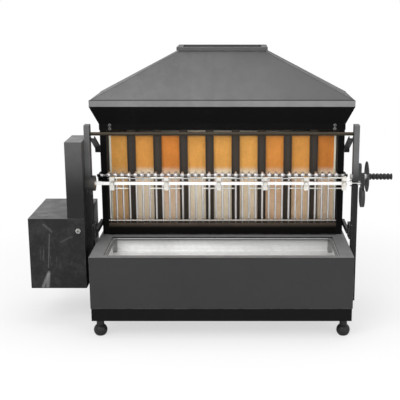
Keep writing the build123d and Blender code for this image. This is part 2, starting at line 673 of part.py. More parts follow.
def hood_cone():
    """Four sloping walls from the rim up to the flue."""
    half_top = FLUE_LENGTH / 2 + FLUE_NECK_WALL
    half_depth = FLUE_DEPTH / 2 + FLUE_NECK_WALL
    half_low = HALF_RIM - SHEET / 2
    low = (RIM_FRONT + SHEET / 2, RIM_BACK - SHEET / 2)
    high = (FIREBOX_MIDDLE - half_depth, FIREBOX_MIDDLE + half_depth)
    save("hood_cone", sloped_walls(half_low, low, RIM_TOP, half_top, high, CONE_TOP, CONE_WALL_RUN))


def flue_flange():
    """Short neck and flat flange that a flue duct bolts to."""
    def level(grow, z0, z1):
        half, deep = FLUE_LENGTH / 2 + grow, FLUE_DEPTH / 2 + grow
        return block(-half, half, FIREBOX_MIDDLE - deep, FIREBOX_MIDDLE + deep, z0, z1)
    flange = level(FLUE_NECK_WALL, CONE_TOP, FLANGE_BOTTOM)
    flange += level(FLUE_FLANGE_WIDTH, FLANGE_BOTTOM, FLANGE_TOP)
    flange -= level(0, CONE_TOP, FLANGE_TOP)
    for sx in (-1, 1):
        for sy in (-1, 1):
            x = sx * (FLUE_LENGTH + FLUE_FLANGE_WIDTH) / 2
            y = FIREBOX_MIDDLE + sy * (FLUE_DEPTH + FLUE_FLANGE_WIDTH) / 2
            flange -= bar_z(x, y, CONE_TOP, FLANGE_TOP + SHEET, FLUE_HOLE_RADIUS)
    save("flue_flange", flange)


def post_blank():
    """Upright of rectangular tube with closed ends, right-hand side."""
    def drawn_in(inset):
        return block(POST_INNER + inset, POST_OUTER - inset, POST_FRONT + inset, POST_BACK - inset,
                     POST_BOTTOM + inset, POST_TOP - inset)
    post = drawn_in(0) - drawn_in(POST_WALL)
    hole = POST_BOLT_RADIUS + LOOSE_GAP
    for z in SPACER_HEIGHTS:
        post -= bar_x(POST_INNER, POST_INNER + POST_WALL, SPIT_SETBACK, z, hole)
    return post


def right_post():
    """Post with an open, rising slot for the spit's journal and a hole for the latch shaft."""
    journal = SPIT_JOURNAL_RADIUS + RUNNING_GAP
    cheek = journal + 2 * POST_WALL
    rising = Pos(0, SPIT_SETBACK, SPIT_HEIGHT) * Rot(-SPIT_SLOT_RISE, 0, 0)
    lining = rising * block(POST_INNER, POST_OUTER, -POST_DEPTH, 0, -cheek, cheek)
    lining &= block(POST_INNER, POST_OUTER, POST_FRONT, SPIT_SETBACK, POST_BOTTOM, POST_TOP)
    post = post_blank() + lining
    post += bar_x(POST_INNER, POST_OUTER, SPIT_SETBACK, SPIT_HEIGHT, cheek)
    post -= rising * block(POST_INNER, POST_OUTER, -POST_DEPTH, 0, -journal, journal)
    post -= bar_x(POST_INNER, POST_OUTER, SPIT_SETBACK, SPIT_HEIGHT, journal)
    post -= bar_x(POST_INNER, POST_OUTER, SPIT_SETBACK, LATCH_HEIGHT, LATCH_SHAFT_RADIUS + RUNNING_GAP)
    save("right_post", post)


def left_post():
    """Post with a hole for the drive shaft and holes for the motor box bolts."""
    post = mirror(post_blank(), about=Plane.YZ)
    post -= bar_x(-POST_OUTER, -POST_INNER, SPIT_SETBACK, SPIT_HEIGHT, DRIVE_SHAFT_RADIUS + LOOSE_GAP)
    for z in BOX_BOLT_HEIGHTS:
        post -= bar_x(-POST_OUTER, -POST_OUTER + POST_WALL, SPIT_SETBACK, z, POST_BOLT_RADIUS + LOOSE_GAP)
    save("left_post", post)


def top_rail():
    """Round rail from post to post."""
    save("top_rail", bar_x(-POST_INNER, POST_INNER, SPIT_SETBACK, POST_TOP - RAIL_DROP, RAIL_DIAMETER / 2))


def upper_struts():
    """Sloping channels from the posts down to the firebox's sides, each with an eye at its lower end."""
    start_y, start_z = SPIT_SETBACK - STRUT_OVERLAP / 2, POST_TOP - STRUT_TOP_DROP
    end_y, end_z = FIREBOX_SETBACK + PLATE + STRUT_OVERLAP, start_z - STRUT_FALL

    def sloping(x0, x1, height):
        return section_x(x0, x1, [(start_y, start_z), (end_y, end_z), (end_y, end_z + height),
                                  (start_y, start_z + height)])
    strut = sloping(HALF_FIREBOX, POST_INNER, STRUT_PLATE)
    strut += sloping(HALF_FIREBOX, HALF_FIREBOX + STRUT_PLATE, STRUT_PLATE + STRUT_EDGE)
    strut += sloping(POST_INNER - STRUT_PLATE, POST_INNER, STRUT_PLATE + STRUT_EDGE)
    eye_z = end_z + STRUT_FALL * STRUT_EYE_RADIUS / (end_y - start_y)
    strut += bar_x(HALF_FIREBOX, POST_INNER, end_y - STRUT_EYE_RADIUS, eye_z, STRUT_EYE_RADIUS)
    save("upper_struts", *both_sides(strut))


def lower_brackets():
    """Short bars from the firebox's sides forward to a pad on each post."""
    half_bar = BRACKET_BAR / 2
    half_pad = BRACKET_PAD_HEIGHT / 2
    bar_end = FIREBOX_SETBACK + PLATE + STRUT_OVERLAP
    bracket = block(HALF_FIREBOX, HALF_FIREBOX + BRACKET_PAD_THICK, POST_FRONT, bar_end,
                    BRACKET_HEIGHT - half_bar, BRACKET_HEIGHT + half_bar)
    bracket += block(POST_INNER - BRACKET_PAD_THICK, POST_INNER, POST_FRONT - BRACKET_PAD_REACH, POST_BACK,
                     BRACKET_HEIGHT - half_pad, BRACKET_HEIGHT + half_pad)
    save("lower_brackets", *both_sides(bracket))


def post_spacers():
    """Tubes between the base's sides and the posts."""
    spacers = []
    for z in SPACER_HEIGHTS:
        tube = bar_x(HALF_BASE, POST_INNER, SPIT_SETBACK, z, SPACER_RADIUS)
        tube -= bar_x(HALF_BASE, POST_INNER, SPIT_SETBACK, z, POST_BOLT_RADIUS + LOOSE_GAP)
        spacers += both_sides(tube)
    save("post_spacers", *spacers)


def post_bolts():
    """Bolts from inside the base through the spacers into the posts."""
    bolts = []
    seat = HALF_BASE - SHEET
    for z in SPACER_HEIGHTS:
        bolt = bar_x(seat - POST_BOLT_HEAD, seat, SPIT_SETBACK, z, POST_BOLT_HEAD_RADIUS)
        bolt += bar_x(seat - WELD, POST_INNER + POST_BOLT_BITE, SPIT_SETBACK, z, POST_BOLT_RADIUS)
        bolts += both_sides(bolt)
    save("post_bolts", *bolts)


def box_bolts():
    """Bolts from inside the motor box into the left post."""
    bolts = []
    seat = BOX_RIGHT - SHEET
    for z in BOX_BOLT_HEIGHTS:
        bolt = bar_x(seat - POST_BOLT_HEAD, seat, SPIT_SETBACK, z, POST_BOLT_HEAD_RADIUS)
        bolt += bar_x(seat - WELD, BOX_RIGHT + POST_BOLT_BITE, SPIT_SETBACK, z, POST_BOLT_RADIUS)
        bolts.append(bolt)
    save("box_bolts", *bolts)


def spit_rod():
    """Square rod: a tang into the drive, a stop collar and a round journal at the right."""
    half = SPIT_SQUARE / 2
    stop_start = SPIT_STOP_END - SPIT_STOP_LENGTH
    journal_end = LATCH_PLATE_START - JOURNAL_END_GAP
    rod = block(SOCKET_MOUTH - SPIT_TANG, SPIT_STOP_END, SPIT_SETBACK - half, SPIT_SETBACK + half,
                SPIT_HEIGHT - half, SPIT_HEIGHT + half)
    rod += bar_x(stop_start, SPIT_STOP_END, SPIT_SETBACK, SPIT_HEIGHT, SPIT_STOP_RADIUS)
    rod += bar_x(SPIT_STOP_END - WELD, journal_end, SPIT_SETBACK, SPIT_HEIGHT, SPIT_JOURNAL_RADIUS)
    save("spit_rod", rod)


def tine(side):
    """One pointed tine, starting inside the clamp block and reaching out to one side."""
    start = side * FORK_LENGTH / 4
    root = side * FORK_LENGTH / 2
    shoulder = root + side * (TINE_REACH - TINE_POINT)
    shank = bar_x(min(start, shoulder), max(start, shoulder), 0, 0, TINE_RADIUS)
    point = Rot(0, 90 * side, 0) * Cone(TINE_RADIUS, TINE_RADIUS / 4, TINE_POINT)
    return shank + Pos(shoulder + side * TINE_POINT / 2, 0, 0) * point


def fork(index):
    """Clamp block with tines above and below the rod; the two end forks point inwards only."""
    half = SPIT_SQUARE / 2 + FORK_HOLE_GAP
    body = Box(FORK_LENGTH, FORK_DEPTH, FORK_HEIGHT) - Box(2 * FORK_LENGTH, 2 * half, 2 * half)
    hole = bar_y(0, -FORK_DEPTH, 0, 0, CLAMP_SCREW_RADIUS + RUNNING_GAP)
    body -= hole
    sides = {0: (1,), len(FORK_PLACES) - 1: (-1,)}.get(index, (-1, 1))
    for side in sides:
        for z in (-TINE_OFFSET, TINE_OFFSET):
            body += Pos(0, 0, z) * tine(side)
    knob_start = -FORK_DEPTH / 2 - CLAMP_STEM
    screw = bar_y(0, knob_start, -half - MOVING_GAP, 0, CLAMP_SCREW_RADIUS)
    screw += bar_y(0, knob_start - CLAMP_KNOB_LENGTH, knob_start, 0, CLAMP_KNOB_RADIUS)
    place = Pos(FORK_PLACES[index], SPIT_SETBACK, SPIT_HEIGHT)
    save(f"spit_fork_{index + 1}", place * body, place * screw)


def drive_boss():
    """Round boss that wraps the left post and carries the drive shaft's bush."""
    boss = bar_x(-POST_OUTER, SOCKET_MOUTH, SPIT_SETBACK, SPIT_HEIGHT, BOSS_RADIUS)
    boss -= block(-POST_OUTER, -POST_INNER, POST_FRONT, POST_BACK, POST_BOTTOM, POST_TOP)
    boss -= bar_x(-POST_OUTER, SOCKET_MOUTH, SPIT_SETBACK, SPIT_HEIGHT, DRIVE_SHAFT_RADIUS + BUSH_WALL)
    save("drive_boss", boss)


def drive_bush():
    """Bronze bush pressed into the boss."""
    bush = bar_x(-POST_INNER, SOCKET_MOUTH, SPIT_SETBACK, SPIT_HEIGHT, DRIVE_SHAFT_RADIUS + BUSH_WALL)
    bush -= bar_x(-POST_INNER, SOCKET_MOUTH, SPIT_SETBACK, SPIT_HEIGHT, DRIVE_SHAFT_RADIUS + RUNNING_GAP)
    save("drive_bush", bush)


def outboard_bearing():
    """Ring on the tower's left wall that carries the far end of the drive shaft."""
    wall = TOWER_LEFT + SHEET
    ring = bar_x(wall, wall + OUTBOARD_LENGTH, SPIT_SETBACK, SPIT_HEIGHT, OUTBOARD_RADIUS)
    ring -= bar_x(wall, wall + OUTBOARD_LENGTH, SPIT_SETBACK, SPIT_HEIGHT, DRIVE_TAIL_RADIUS + RUNNING_GAP)
    save("outboard_bearing", ring)


def drive_shaft():
    """Stepped shaft with a square socket for the spit's tang."""
    tail = TOWER_LEFT + SHEET + MOVING_GAP
    shaft = bar_x(SHOULDER_X, SOCKET_MOUTH, SPIT_SETBACK, SPIT_HEIGHT, DRIVE_SHAFT_RADIUS)
    shaft += bar_x(tail, SHOULDER_X, SPIT_SETBACK, SPIT_HEIGHT, DRIVE_TAIL_RADIUS)
    half = SPIT_SQUARE / 2 + SOCKET_GAP
    bottom = SOCKET_MOUTH - SPIT_TANG - SOCKET_END_GAP
    shaft -= block(bottom, SOCKET_MOUTH, SPIT_SETBACK - half, SPIT_SETBACK + half,
                   SPIT_HEIGHT - half, SPIT_HEIGHT + half)
    save("drive_shaft", shaft)


def sprocket(teeth, bore, height, first_angle):
    """Toothed wheel with a hub towards the post; its roller seats start at first_angle."""
    radius = pitch_radius(teeth)
    wheel = bar_x(CHAIN_X - SPROCKET_THICK / 2, CHAIN_X + SPROCKET_THICK / 2, 0, 0, radius + TOOTH_TIP)
    seat = ROLLER_RADIUS + TOOTH_GAP
    outer = radius + 2 * TOOTH_TIP
    mouth = seat + 2 * TOOTH_TIP * TOOTH_SLOPE
    gap = section_x(CHAIN_X - SPROCKET_THICK, CHAIN_X + SPROCKET_THICK,
                    [(radius, -seat), (outer, -mouth), (outer, mouth), (radius, seat)])
    gap += bar_x(CHAIN_X - SPROCKET_THICK, CHAIN_X + SPROCKET_THICK, radius, 0, seat)
    wheel = wheel.cut(*[Rot(first_angle + 360 * index / teeth, 0, 0) * gap for index in range(teeth)])
    wheel += bar_x(CHAIN_X, SHOULDER_X, 0, 0, SPROCKET_HUB_RADIUS)
    wheel -= bar_x(CHAIN_X - SPROCKET_THICK, SHOULDER_X, 0, 0, bore + RUNNING_GAP)
    return Pos(0, SPIT_SETBACK, height) * wheel


def sprockets():
    """The driven wheel with a seat at its top and the motor's wheel with a seat at its bottom."""
    save("driven_sprocket", sprocket(DRIVEN_TEETH, DRIVE_TAIL_RADIUS, SPIT_HEIGHT, 90))
    save("motor_sprocket", sprocket(MOTOR_TEETH, MOTOR_SHAFT_RADIUS, MOTOR_SHAFT_HEIGHT, -90))


def chain_point(travel):
    """The Y and Z of the pitch line, a length of travel on from where it meets the driven wheel."""
    travel %= CHAIN_LENGTH
    centre, radius, angle, straight = SPIT_HEIGHT, DRIVEN_RADIUS, travel / DRIVEN_RADIUS - CHAIN_LEAN, 0
    if travel > CHAIN_OVER:
        angle, straight = pi + CHAIN_LEAN, travel - CHAIN_OVER
    if travel > CHAIN_OVER + CHAIN_RUN:
        centre, radius = MOTOR_SHAFT_HEIGHT, MOTOR_WHEEL_RADIUS
        angle, straight = pi + CHAIN_LEAN + (travel - CHAIN_OVER - CHAIN_RUN) / radius, 0
    if travel > CHAIN_OVER + CHAIN_RUN + CHAIN_UNDER:
        angle, straight = -CHAIN_LEAN, travel - CHAIN_OVER - CHAIN_RUN - CHAIN_UNDER
    y = SPIT_SETBACK + radius * cos(angle) - straight * sin(angle)
    return y, centre + radius * sin(angle) + straight * cos(angle)


def seated(middle, teeth, wrapped):
    """Travel of each roller in a wheel's seats, one of them halfway along the wrapped length."""
    step = 2 * pi * pitch_radius(teeth) / teeth
    reach = int(wrapped / 2 / step)
    return [middle + index * step for index in range(-reach, reach + 1)]


def spread(start, end, count):
    """Evenly spaced values between two others."""
    return [start + (end - start) * index / (count + 1) for index in range(1, count + 1)]


def roller_places():
    """The Y and Z of each roller: seated round both wheels, and evenly spaced between them."""
    driven = seated(CHAIN_OVER / 2, DRIVEN_TEETH, CHAIN_OVER)
    motor = seated(CHAIN_OVER + CHAIN_RUN + CHAIN_UNDER / 2, MOTOR_TEETH, CHAIN_UNDER)
    free = (CHAIN_LINKS - len(driven) - len(motor)) // 2
    down = spread(driven[-1], motor[0], free)
    up = spread(motor[-1], driven[0] + CHAIN_LENGTH, free)
    return [chain_point(travel) for travel in driven + down + motor + up]


def link_plate(first, second, x0, x1):
    """Round-ended plate between two rollers, from x0 to x1."""
    dy, dz = second[0] - first[0], second[1] - first[1]
    middle = (x0, (first[0] + second[0]) / 2, (first[1] + second[1]) / 2)
    plane = Plane(middle, x_dir=(0, dy, dz), z_dir=(1, 0, 0))
    return extrude(plane * SlotCenterToCenter((dy ** 2 + dz ** 2) ** 0.5, 2 * LINK_RADIUS), x1 - x0)


def drive_chain():
    """Rollers, with inner and outer link plates by turns, round both sprockets."""
    places = roller_places()
    half = ROLLER_WIDTH / 2
    pieces = []
    for index, (y, z) in enumerate(places):
        pieces.append(bar_x(CHAIN_X - half, CHAIN_X + half, y, z, ROLLER_RADIUS))
        following = places[(index + 1) % len(places)]
        near = half + LINK_THICK * (index % 2)
        far = near + LINK_THICK
        pieces.append(link_plate((y, z), following, CHAIN_X + near, CHAIN_X + far))
        pieces.append(link_plate((y, z), following, CHAIN_X - far, CHAIN_X - near))
    save("drive_chain", *pieces)


def gearbox():
    """Worm gearbox: a block with rounded edges and a round boss where the output shaft leaves."""
    half = GEARBOX_SIDE / 2
    body = block(GEARBOX_LEFT, GEARBOX_RIGHT, SPIT_SETBACK - half, SPIT_SETBACK + half,
                 MOTOR_SHAFT_HEIGHT - half, MOTOR_SHAFT_HEIGHT + half)
    body = fillet(body.edges().filter_by(Axis.X), GEARBOX_CORNER)
    body -= bar_x(GEARBOX_LEFT + GEARBOX_CORNER, GEARBOX_RIGHT, SPIT_SETBACK, MOTOR_SHAFT_HEIGHT,
                  MOTOR_SHAFT_RADIUS + RUNNING_GAP)
    save("gearbox", body)


def motor_shaft():
    """Output shaft of the gearbox, which carries the motor sprocket."""
    start = GEARBOX_LEFT + GEARBOX_CORNER + MOVING_GAP
    save("motor_shaft", bar_x(start, SHOULDER_X, SPIT_SETBACK, MOTOR_SHAFT_HEIGHT, MOTOR_SHAFT_RADIUS))


def motor():
    """Ribbed motor behind the gearbox, its axis along Y."""
    x = (GEARBOX_LEFT + GEARBOX_RIGHT) / 2
    front = SPIT_SETBACK + GEARBOX_SIDE / 2
    body = bar_y(x, front, front + MOTOR_LENGTH, MOTOR_SHAFT_HEIGHT, MOTOR_RADIUS)
    step = MOTOR_LENGTH / (MOTOR_RIB_COUNT + 1)
    ribs = []
    for index in range(1, MOTOR_RIB_COUNT + 1):
        y0 = front + index * step - MOTOR_RIB_WIDTH / 2
        ribs.append(bar_y(x, y0, y0 + MOTOR_RIB_WIDTH, MOTOR_SHAFT_HEIGHT, MOTOR_RIB_RADIUS))
    save("motor", body.fuse(*ribs))


def motor_stand():
    """Folded stand from the motor box's floor up to the gearbox."""
    low = MOTOR_BOX_BOTTOM + SHEET
    high = MOTOR_SHAFT_HEIGHT - GEARBOX_SIDE / 2
    half = GEARBOX_SIDE / 2 + STAND_MARGIN
    stand = block(GEARBOX_LEFT, GEARBOX_RIGHT, SPIT_SETBACK - half, SPIT_SETBACK + half, low, high)
    inner = half - STAND_WALL
    stand -= block(GEARBOX_LEFT, GEARBOX_RIGHT, SPIT_SETBACK - inner, SPIT_SETBACK + inner,
                   low, high - STAND_WALL)
    save("motor_stand", stand)


def cover_screw_places(left, right, low, high):
    """Four corner places, inset from a cover's edges."""
    inset = COVER_SCREW_INSET
    return [(x, z) for x in (left + inset, right - inset) for z in (low + inset, high - inset)]


def switch_place():
    """The X and Z of the switch on the motor box's front."""
    return BOX_RIGHT - SWITCH_FROM_RIGHT, BOX_TOP - SWITCH_FROM_TOP


def motor_box():
    """Box of folded sheet, open at the back where its cover goes, with a slot for the chain in its top."""
    box = block(BOX_LEFT, BOX_RIGHT, MOTOR_BOX_FRONT, BOX_BACK - SHEET, MOTOR_BOX_BOTTOM, BOX_TOP)
    box -= block(BOX_LEFT + SHEET, BOX_RIGHT - SHEET, MOTOR_BOX_FRONT + SHEET, BOX_BACK - SHEET,
                 MOTOR_BOX_BOTTOM + SHEET, BOX_TOP - SHEET)
    margin = CHAIN_SLOT_MARGIN
    box -= block(TOWER_LEFT + margin, BOX_RIGHT - margin, MOTOR_BOX_FRONT + margin, TOWER_BACK - margin,
                 BOX_TOP - SHEET, BOX_TOP)
    x, z = switch_place()
    box -= bar_y(x, MOTOR_BOX_FRONT, MOTOR_BOX_FRONT + SHEET, z, SWITCH_BUSH_RADIUS + LOOSE_GAP / 2)
    for z in BOX_BOLT_HEIGHTS:
        box -= bar_x(BOX_RIGHT - SHEET, BOX_RIGHT, SPIT_SETBACK, z, POST_BOLT_RADIUS + LOOSE_GAP)
    save("motor_box", box)


def motor_box_cover():
    """Flat back of the motor box, drilled for the cable gland."""
    cover = block(BOX_LEFT, BOX_RIGHT, BOX_BACK - SHEET, BOX_BACK, MOTOR_BOX_BOTTOM, BOX_TOP)
    x = (BOX_LEFT + BOX_RIGHT) / 2
    z = MOTOR_BOX_BOTTOM + GLAND_FROM_BOTTOM
    cover -= bar_y(x, BOX_BACK - SHEET, BOX_BACK, z, GLAND_RADIUS - GLAND_FLANGE + LOOSE_GAP)
    save("motor_box_cover", cover)


def chain_tower():
    """Upright case for the chain, open below and behind."""
    tower = block(TOWER_LEFT, BOX_RIGHT, MOTOR_BOX_FRONT, TOWER_BACK - SHEET, BOX_TOP, TOWER_TOP)
    tower -= block(TOWER_LEFT + SHEET, BOX_RIGHT - SHEET, MOTOR_BOX_FRONT + SHEET, TOWER_BACK - SHEET,
                   BOX_TOP, TOWER_TOP - SHEET)
    tower -= bar_x(BOX_RIGHT - SHEET, BOX_RIGHT, SPIT_SETBACK, SPIT_HEIGHT, DRIVE_SHAFT_RADIUS + LOOSE_GAP)
    save("chain_tower", tower)


def tower_cover():
    """Flat back of the chain tower."""
    save("tower_cover", block(TOWER_LEFT, BOX_RIGHT, TOWER_BACK - SHEET, TOWER_BACK, BOX_TOP, TOWER_TOP))


def cover_screws():
    """Screw heads on both covers."""
    heads = []
    for x, z in cover_screw_places(BOX_LEFT, BOX_RIGHT, MOTOR_BOX_BOTTOM, BOX_TOP):
        heads.append(bar_y(x, BOX_BACK, BOX_BACK + BOLT_HEAD_HEIGHT, z, BOLT_HEAD_RADIUS))
    for x, z in cover_screw_places(TOWER_LEFT, BOX_RIGHT, BOX_TOP, TOWER_TOP):
        heads.append(bar_y(x, TOWER_BACK, TOWER_BACK + BOLT_HEAD_HEIGHT, z, BOLT_HEAD_RADIUS))
    save("cover_screws", *heads)


def toggle_switch():
    """Switch body behind the front sheet, its threaded bush and the ring nut in front."""
    x, z = switch_place()
    width, height, depth = SWITCH_BODY
    inner = MOTOR_BOX_FRONT + SHEET
    front = MOTOR_BOX_FRONT - SWITCH_BUSH_LENGTH
    body = block(x - width / 2, x + width / 2, inner, inner + depth, z - height / 2, z + height / 2)
    body += bar_y(x, front, inner + WELD, z, SWITCH_BUSH_RADIUS)
    body -= bar_y(x, front, MOTOR_BOX_FRONT, z, SWITCH_BORE_RADIUS)
    hexagon = Plane((x, MOTOR_BOX_FRONT, z), x_dir=(1, 0, 0), z_dir=(0, -1, 0))
    nut = extrude(hexagon * RegularPolygon(SWITCH_NUT_WIDTH / 2, 6, major_radius=False), SWITCH_NUT_HEIGHT)
    nut -= bar_y(x, front, MOTOR_BOX_FRONT, z, SWITCH_BUSH_RADIUS + RUNNING_GAP)
    save("toggle_switch", body, nut)


def switch_lever():
    """Tapered lever with a round tip, on an upright pivot inside the bush, leaning to the right at rest."""
    x, z = switch_place()
    reach = SWITCH_BORE_RADIUS - MOVING_GAP
    pivot_half = (reach ** 2 - SWITCH_PIVOT_RADIUS ** 2) ** 0.5
    shank = Cone(LEVER_ROOT_RADIUS, LEVER_RADIUS, LEVER_LENGTH)
    lever = Pos(0, 0, LEVER_LENGTH / 2) * shank + Pos(0, 0, LEVER_LENGTH) * Sphere(LEVER_RADIUS)
    lever += bar_y(0, -pivot_half, pivot_half, 0, SWITCH_PIVOT_RADIUS)
    pivot = MOTOR_BOX_FRONT - reach - MOVING_GAP
    save("switch_lever", Pos(x, pivot, z) * Rot(0, 0, LEVER_TILT) * Rot(90, 0, 0) * lever)


def cable_gland():
    """Gland at the back of the motor box, with its flange against the cover."""
    x = (BOX_LEFT + BOX_RIGHT) / 2
    z = MOTOR_BOX_BOTTOM + GLAND_FROM_BOTTOM
    gland = bar_y(x, BOX_BACK, BOX_BACK + GLAND_FLANGE, z, GLAND_FLANGE_RADIUS)
    gland += bar_y(x, BOX_BACK, BOX_BACK + GLAND_LENGTH, z, GLAND_RADIUS)
    gland += bar_y(x, BOX_BACK - SHEET - GLAND_FLANGE, BOX_BACK, z, GLAND_RADIUS - GLAND_FLANGE)
    gland -= bar_y(x, BOX_BACK - GLAND_LENGTH, BOX_BACK + GLAND_LENGTH, z, GLAND_BORE_RADIUS)
    save("cable_gland", gland)


def latch_boss():
    """Block with a rounded top on the right post's outer side, bored for the latch shaft."""
    front, back = SPIT_SETBACK - LATCH_BOSS_DEPTH / 2, SPIT_SETBACK + LATCH_BOSS_DEPTH / 2
    low, high = LATCH_HEIGHT - LATCH_BOSS_FALL, LATCH_HEIGHT + LATCH_BOSS_RISE
    boss = block(POST_OUTER, LATCH_BOSS_END, front, back, low, high)
    boss = fillet(boss.edges().filter_by(Axis.X).group_by(Axis.Z)[-1], LATCH_BOSS_DEPTH / 3)
    boss -= bar_x(POST_OUTER, LATCH_BOSS_END, SPIT_SETBACK, LATCH_HEIGHT, LATCH_SHAFT_RADIUS + RUNNING_GAP)
    save("latch_boss", boss)


def latch_shaft():
    """Shaft through the post and boss, with a collar between the plate and the guard."""
    start = POST_INNER - MOVING_GAP - LATCH_NUT_HEIGHT
    end = GRIP_END - GRIP_WALL_END
    shaft = bar_x(start, end, SPIT_SETBACK, LATCH_HEIGHT, LATCH_SHAFT_RADIUS)
    shaft += bar_x(LATCH_PLATE_END, GUARD_START, SPIT_SETBACK, LATCH_HEIGHT, LATCH_HUB_RADIUS)
    save("latch_shaft", shaft)


def latch_nut():
    """Bright nut on the shaft's inner end, clear of the post."""
    outer = POST_INNER - MOVING_GAP
    nut = hexagon_x(outer - LATCH_NUT_HEIGHT, outer, SPIT_SETBACK, LATCH_HEIGHT, LATCH_NUT_WIDTH)
    nut -= bar_x(outer - LATCH_NUT_HEIGHT, outer, SPIT_SETBACK, LATCH_HEIGHT, LATCH_SHAFT_RADIUS)
    save("latch_nut", nut)


def latch_plate():
    """Hanging plate that covers the spit's end: a round head, a neck and a D-shaped lobe."""
    start, end = LATCH_PLATE_START, LATCH_PLATE_END
    lobe_z = LATCH_HEIGHT - LATCH_LOBE_DROP
    top = lobe_z + LATCH_LOBE_RADIUS * 0.6
    plate = bar_x(start, end, SPIT_SETBACK, LATCH_HEIGHT, LATCH_HEAD_RADIUS)
    plate += block(start, end, SPIT_SETBACK - LATCH_HEAD_RADIUS, SPIT_SETBACK + LATCH_HEAD_RADIUS,
                   lobe_z, LATCH_HEIGHT)
    lobe = bar_x(start, end, SPIT_SETBACK, lobe_z, LATCH_LOBE_RADIUS)
    plate += lobe & block(start, end, SPIT_SETBACK - LATCH_LOBE_RADIUS, SPIT_SETBACK + LATCH_LOBE_RADIUS,
                          lobe_z - LATCH_LOBE_RADIUS, top)
    plate -= bar_x(start, end, SPIT_SETBACK, LATCH_HEIGHT, LATCH_SHAFT_RADIUS)
    save("latch_plate", plate)


def guard_disc():
    """Thin disc that keeps the hand off the hot end, with a hub towards the grip."""
    hub_end = GUARD_START + GUARD_THICK + GUARD_HUB_LENGTH
    guard = bar_x(GUARD_START, GUARD_START + GUARD_THICK, SPIT_SETBACK, LATCH_HEIGHT, GUARD_RADIUS)
    guard += bar_x(GUARD_START, hub_end, SPIT_SETBACK, LATCH_HEIGHT, GUARD_HUB_RADIUS)
    guard -= bar_x(GUARD_START, hub_end, SPIT_SETBACK, LATCH_HEIGHT, LATCH_SHAFT_RADIUS)
    save("guard_disc", guard)


def handle_grip():
    """Ribbed grip: a core with rounded rings, closed at its end."""
    ribs_end = GRIP_START + GRIP_RIBS * GRIP_RIB_PITCH
    grip = bar_x(GRIP_START, GRIP_END - GRIP_WALL_END / 2, SPIT_SETBACK, LATCH_HEIGHT, GRIP_GROOVE_RADIUS)
    rings = []
    for index in range(GRIP_RIBS + 1):
        last = index == GRIP_RIBS
        x0 = ribs_end if last else GRIP_START + index * GRIP_RIB_PITCH
        x1 = GRIP_END if last else x0 + GRIP_RIB_PITCH * GRIP_RIB_SHARE
        ring = bar_x(x0, x1, SPIT_SETBACK, LATCH_HEIGHT, GRIP_RADIUS)
        rings.append(fillet(ring.edges(), min(GRIP_RADIUS - GRIP_GROOVE_RADIUS, (x1 - x0) / 2) * 0.8))
    grip = grip.fuse(*rings)
    grip -= bar_x(GRIP_START, GRIP_END - GRIP_WALL_END, SPIT_SETBACK, LATCH_HEIGHT, LATCH_SHAFT_RADIUS)
    save("handle_grip", grip)


ball_feet()
foot_nuts()
base_plinth()
base_box()
drip_tray()
firebox_shell()
side_frames()
firebox_lip()
firebricks()
brick_rack()
insulating_board()
packing_strips()
charcoal_grille()
grille_hooks()
hood_flare()
hood_bolts()
hood_rim()
hood_cone()
flue_flange()
right_post()
left_post()
top_rail()
upper_struts()
lower_brackets()
post_spacers()
post_bolts()
box_bolts()
spit_rod()
for number in range(len(FORK_PLACES)):
    fork(number)
drive_boss()
drive_bush()
outboard_bearing()
drive_shaft()
drive_chain()
sprockets()
gearbox()
motor_shaft()
motor()
motor_stand()
motor_box()
motor_box_cover()
chain_tower()
tower_cover()
cover_screws()
toggle_switch()
switch_lever()
cable_gland()
latch_boss()
latch_shaft()
latch_nut()
latch_plate()
guard_disc()
handle_grip()
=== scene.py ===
"""Dresses the charcoal rotisserie grill: firebricks, folded tray and sheets, welds, screws and paints."""
from math import atan2, radians, sin, tau

import bmesh
import bpy
from mathutils import Matrix, Vector, noise


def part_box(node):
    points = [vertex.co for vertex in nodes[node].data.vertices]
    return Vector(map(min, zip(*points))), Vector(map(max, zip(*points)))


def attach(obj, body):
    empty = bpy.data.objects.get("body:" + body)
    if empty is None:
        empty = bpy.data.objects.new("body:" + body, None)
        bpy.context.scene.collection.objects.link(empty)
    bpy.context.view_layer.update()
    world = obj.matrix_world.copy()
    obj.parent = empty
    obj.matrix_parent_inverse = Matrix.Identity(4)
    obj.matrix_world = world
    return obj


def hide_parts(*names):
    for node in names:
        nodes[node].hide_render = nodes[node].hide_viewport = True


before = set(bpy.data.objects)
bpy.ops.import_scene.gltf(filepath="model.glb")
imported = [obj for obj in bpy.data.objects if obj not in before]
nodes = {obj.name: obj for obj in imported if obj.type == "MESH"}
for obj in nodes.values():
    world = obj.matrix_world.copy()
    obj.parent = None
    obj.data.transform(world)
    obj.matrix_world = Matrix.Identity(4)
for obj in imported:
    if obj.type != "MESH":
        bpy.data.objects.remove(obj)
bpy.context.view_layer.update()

# Camera, from the photograph's perspective
CAMERA_PLACE = (0.0893, -3.2915, 1.2409)
CAMERA_TILT = 13.48
CAMERA_LENS = 79.0
CAMERA_SHIFT = -0.088
CAMERA_SENSOR = 36.0            # millimetres

# Middle of the base, the tray and the charcoal grille, across; all places and sizes below are in metres
MIDDLE_X = 0.04

# Bricks from left to right: a tone of 1 is the reddest clay, an ash of 1 the palest foot
BRICK_TONES = (0.15, 0.4, 0.95, 0.2, 0.15, 0.12, 0.7, 0.4, 0.9)
BRICK_ASH = (0.35, 1.0, 0.8, 1.0, 1.0, 0.95, 0.55, 0.6, 0.85)
BRICK_GAP = 0.002
BRICK_CHIP = 0.0016
BRICK_CHIP_SCALE = 90
BRICK_FACE_SHARE = 0.15         # of the chips' depth, away from the edges
BRICK_ROUNDING = 0.0025
BRICK_CUTS = 14
COAL_LINE = (0.568, 0.536)      # heights between which the bricks turn ashy
TOP_SHADE_LINE = (0.676, 0.69)       # heights between which painted shade darkens them towards the top
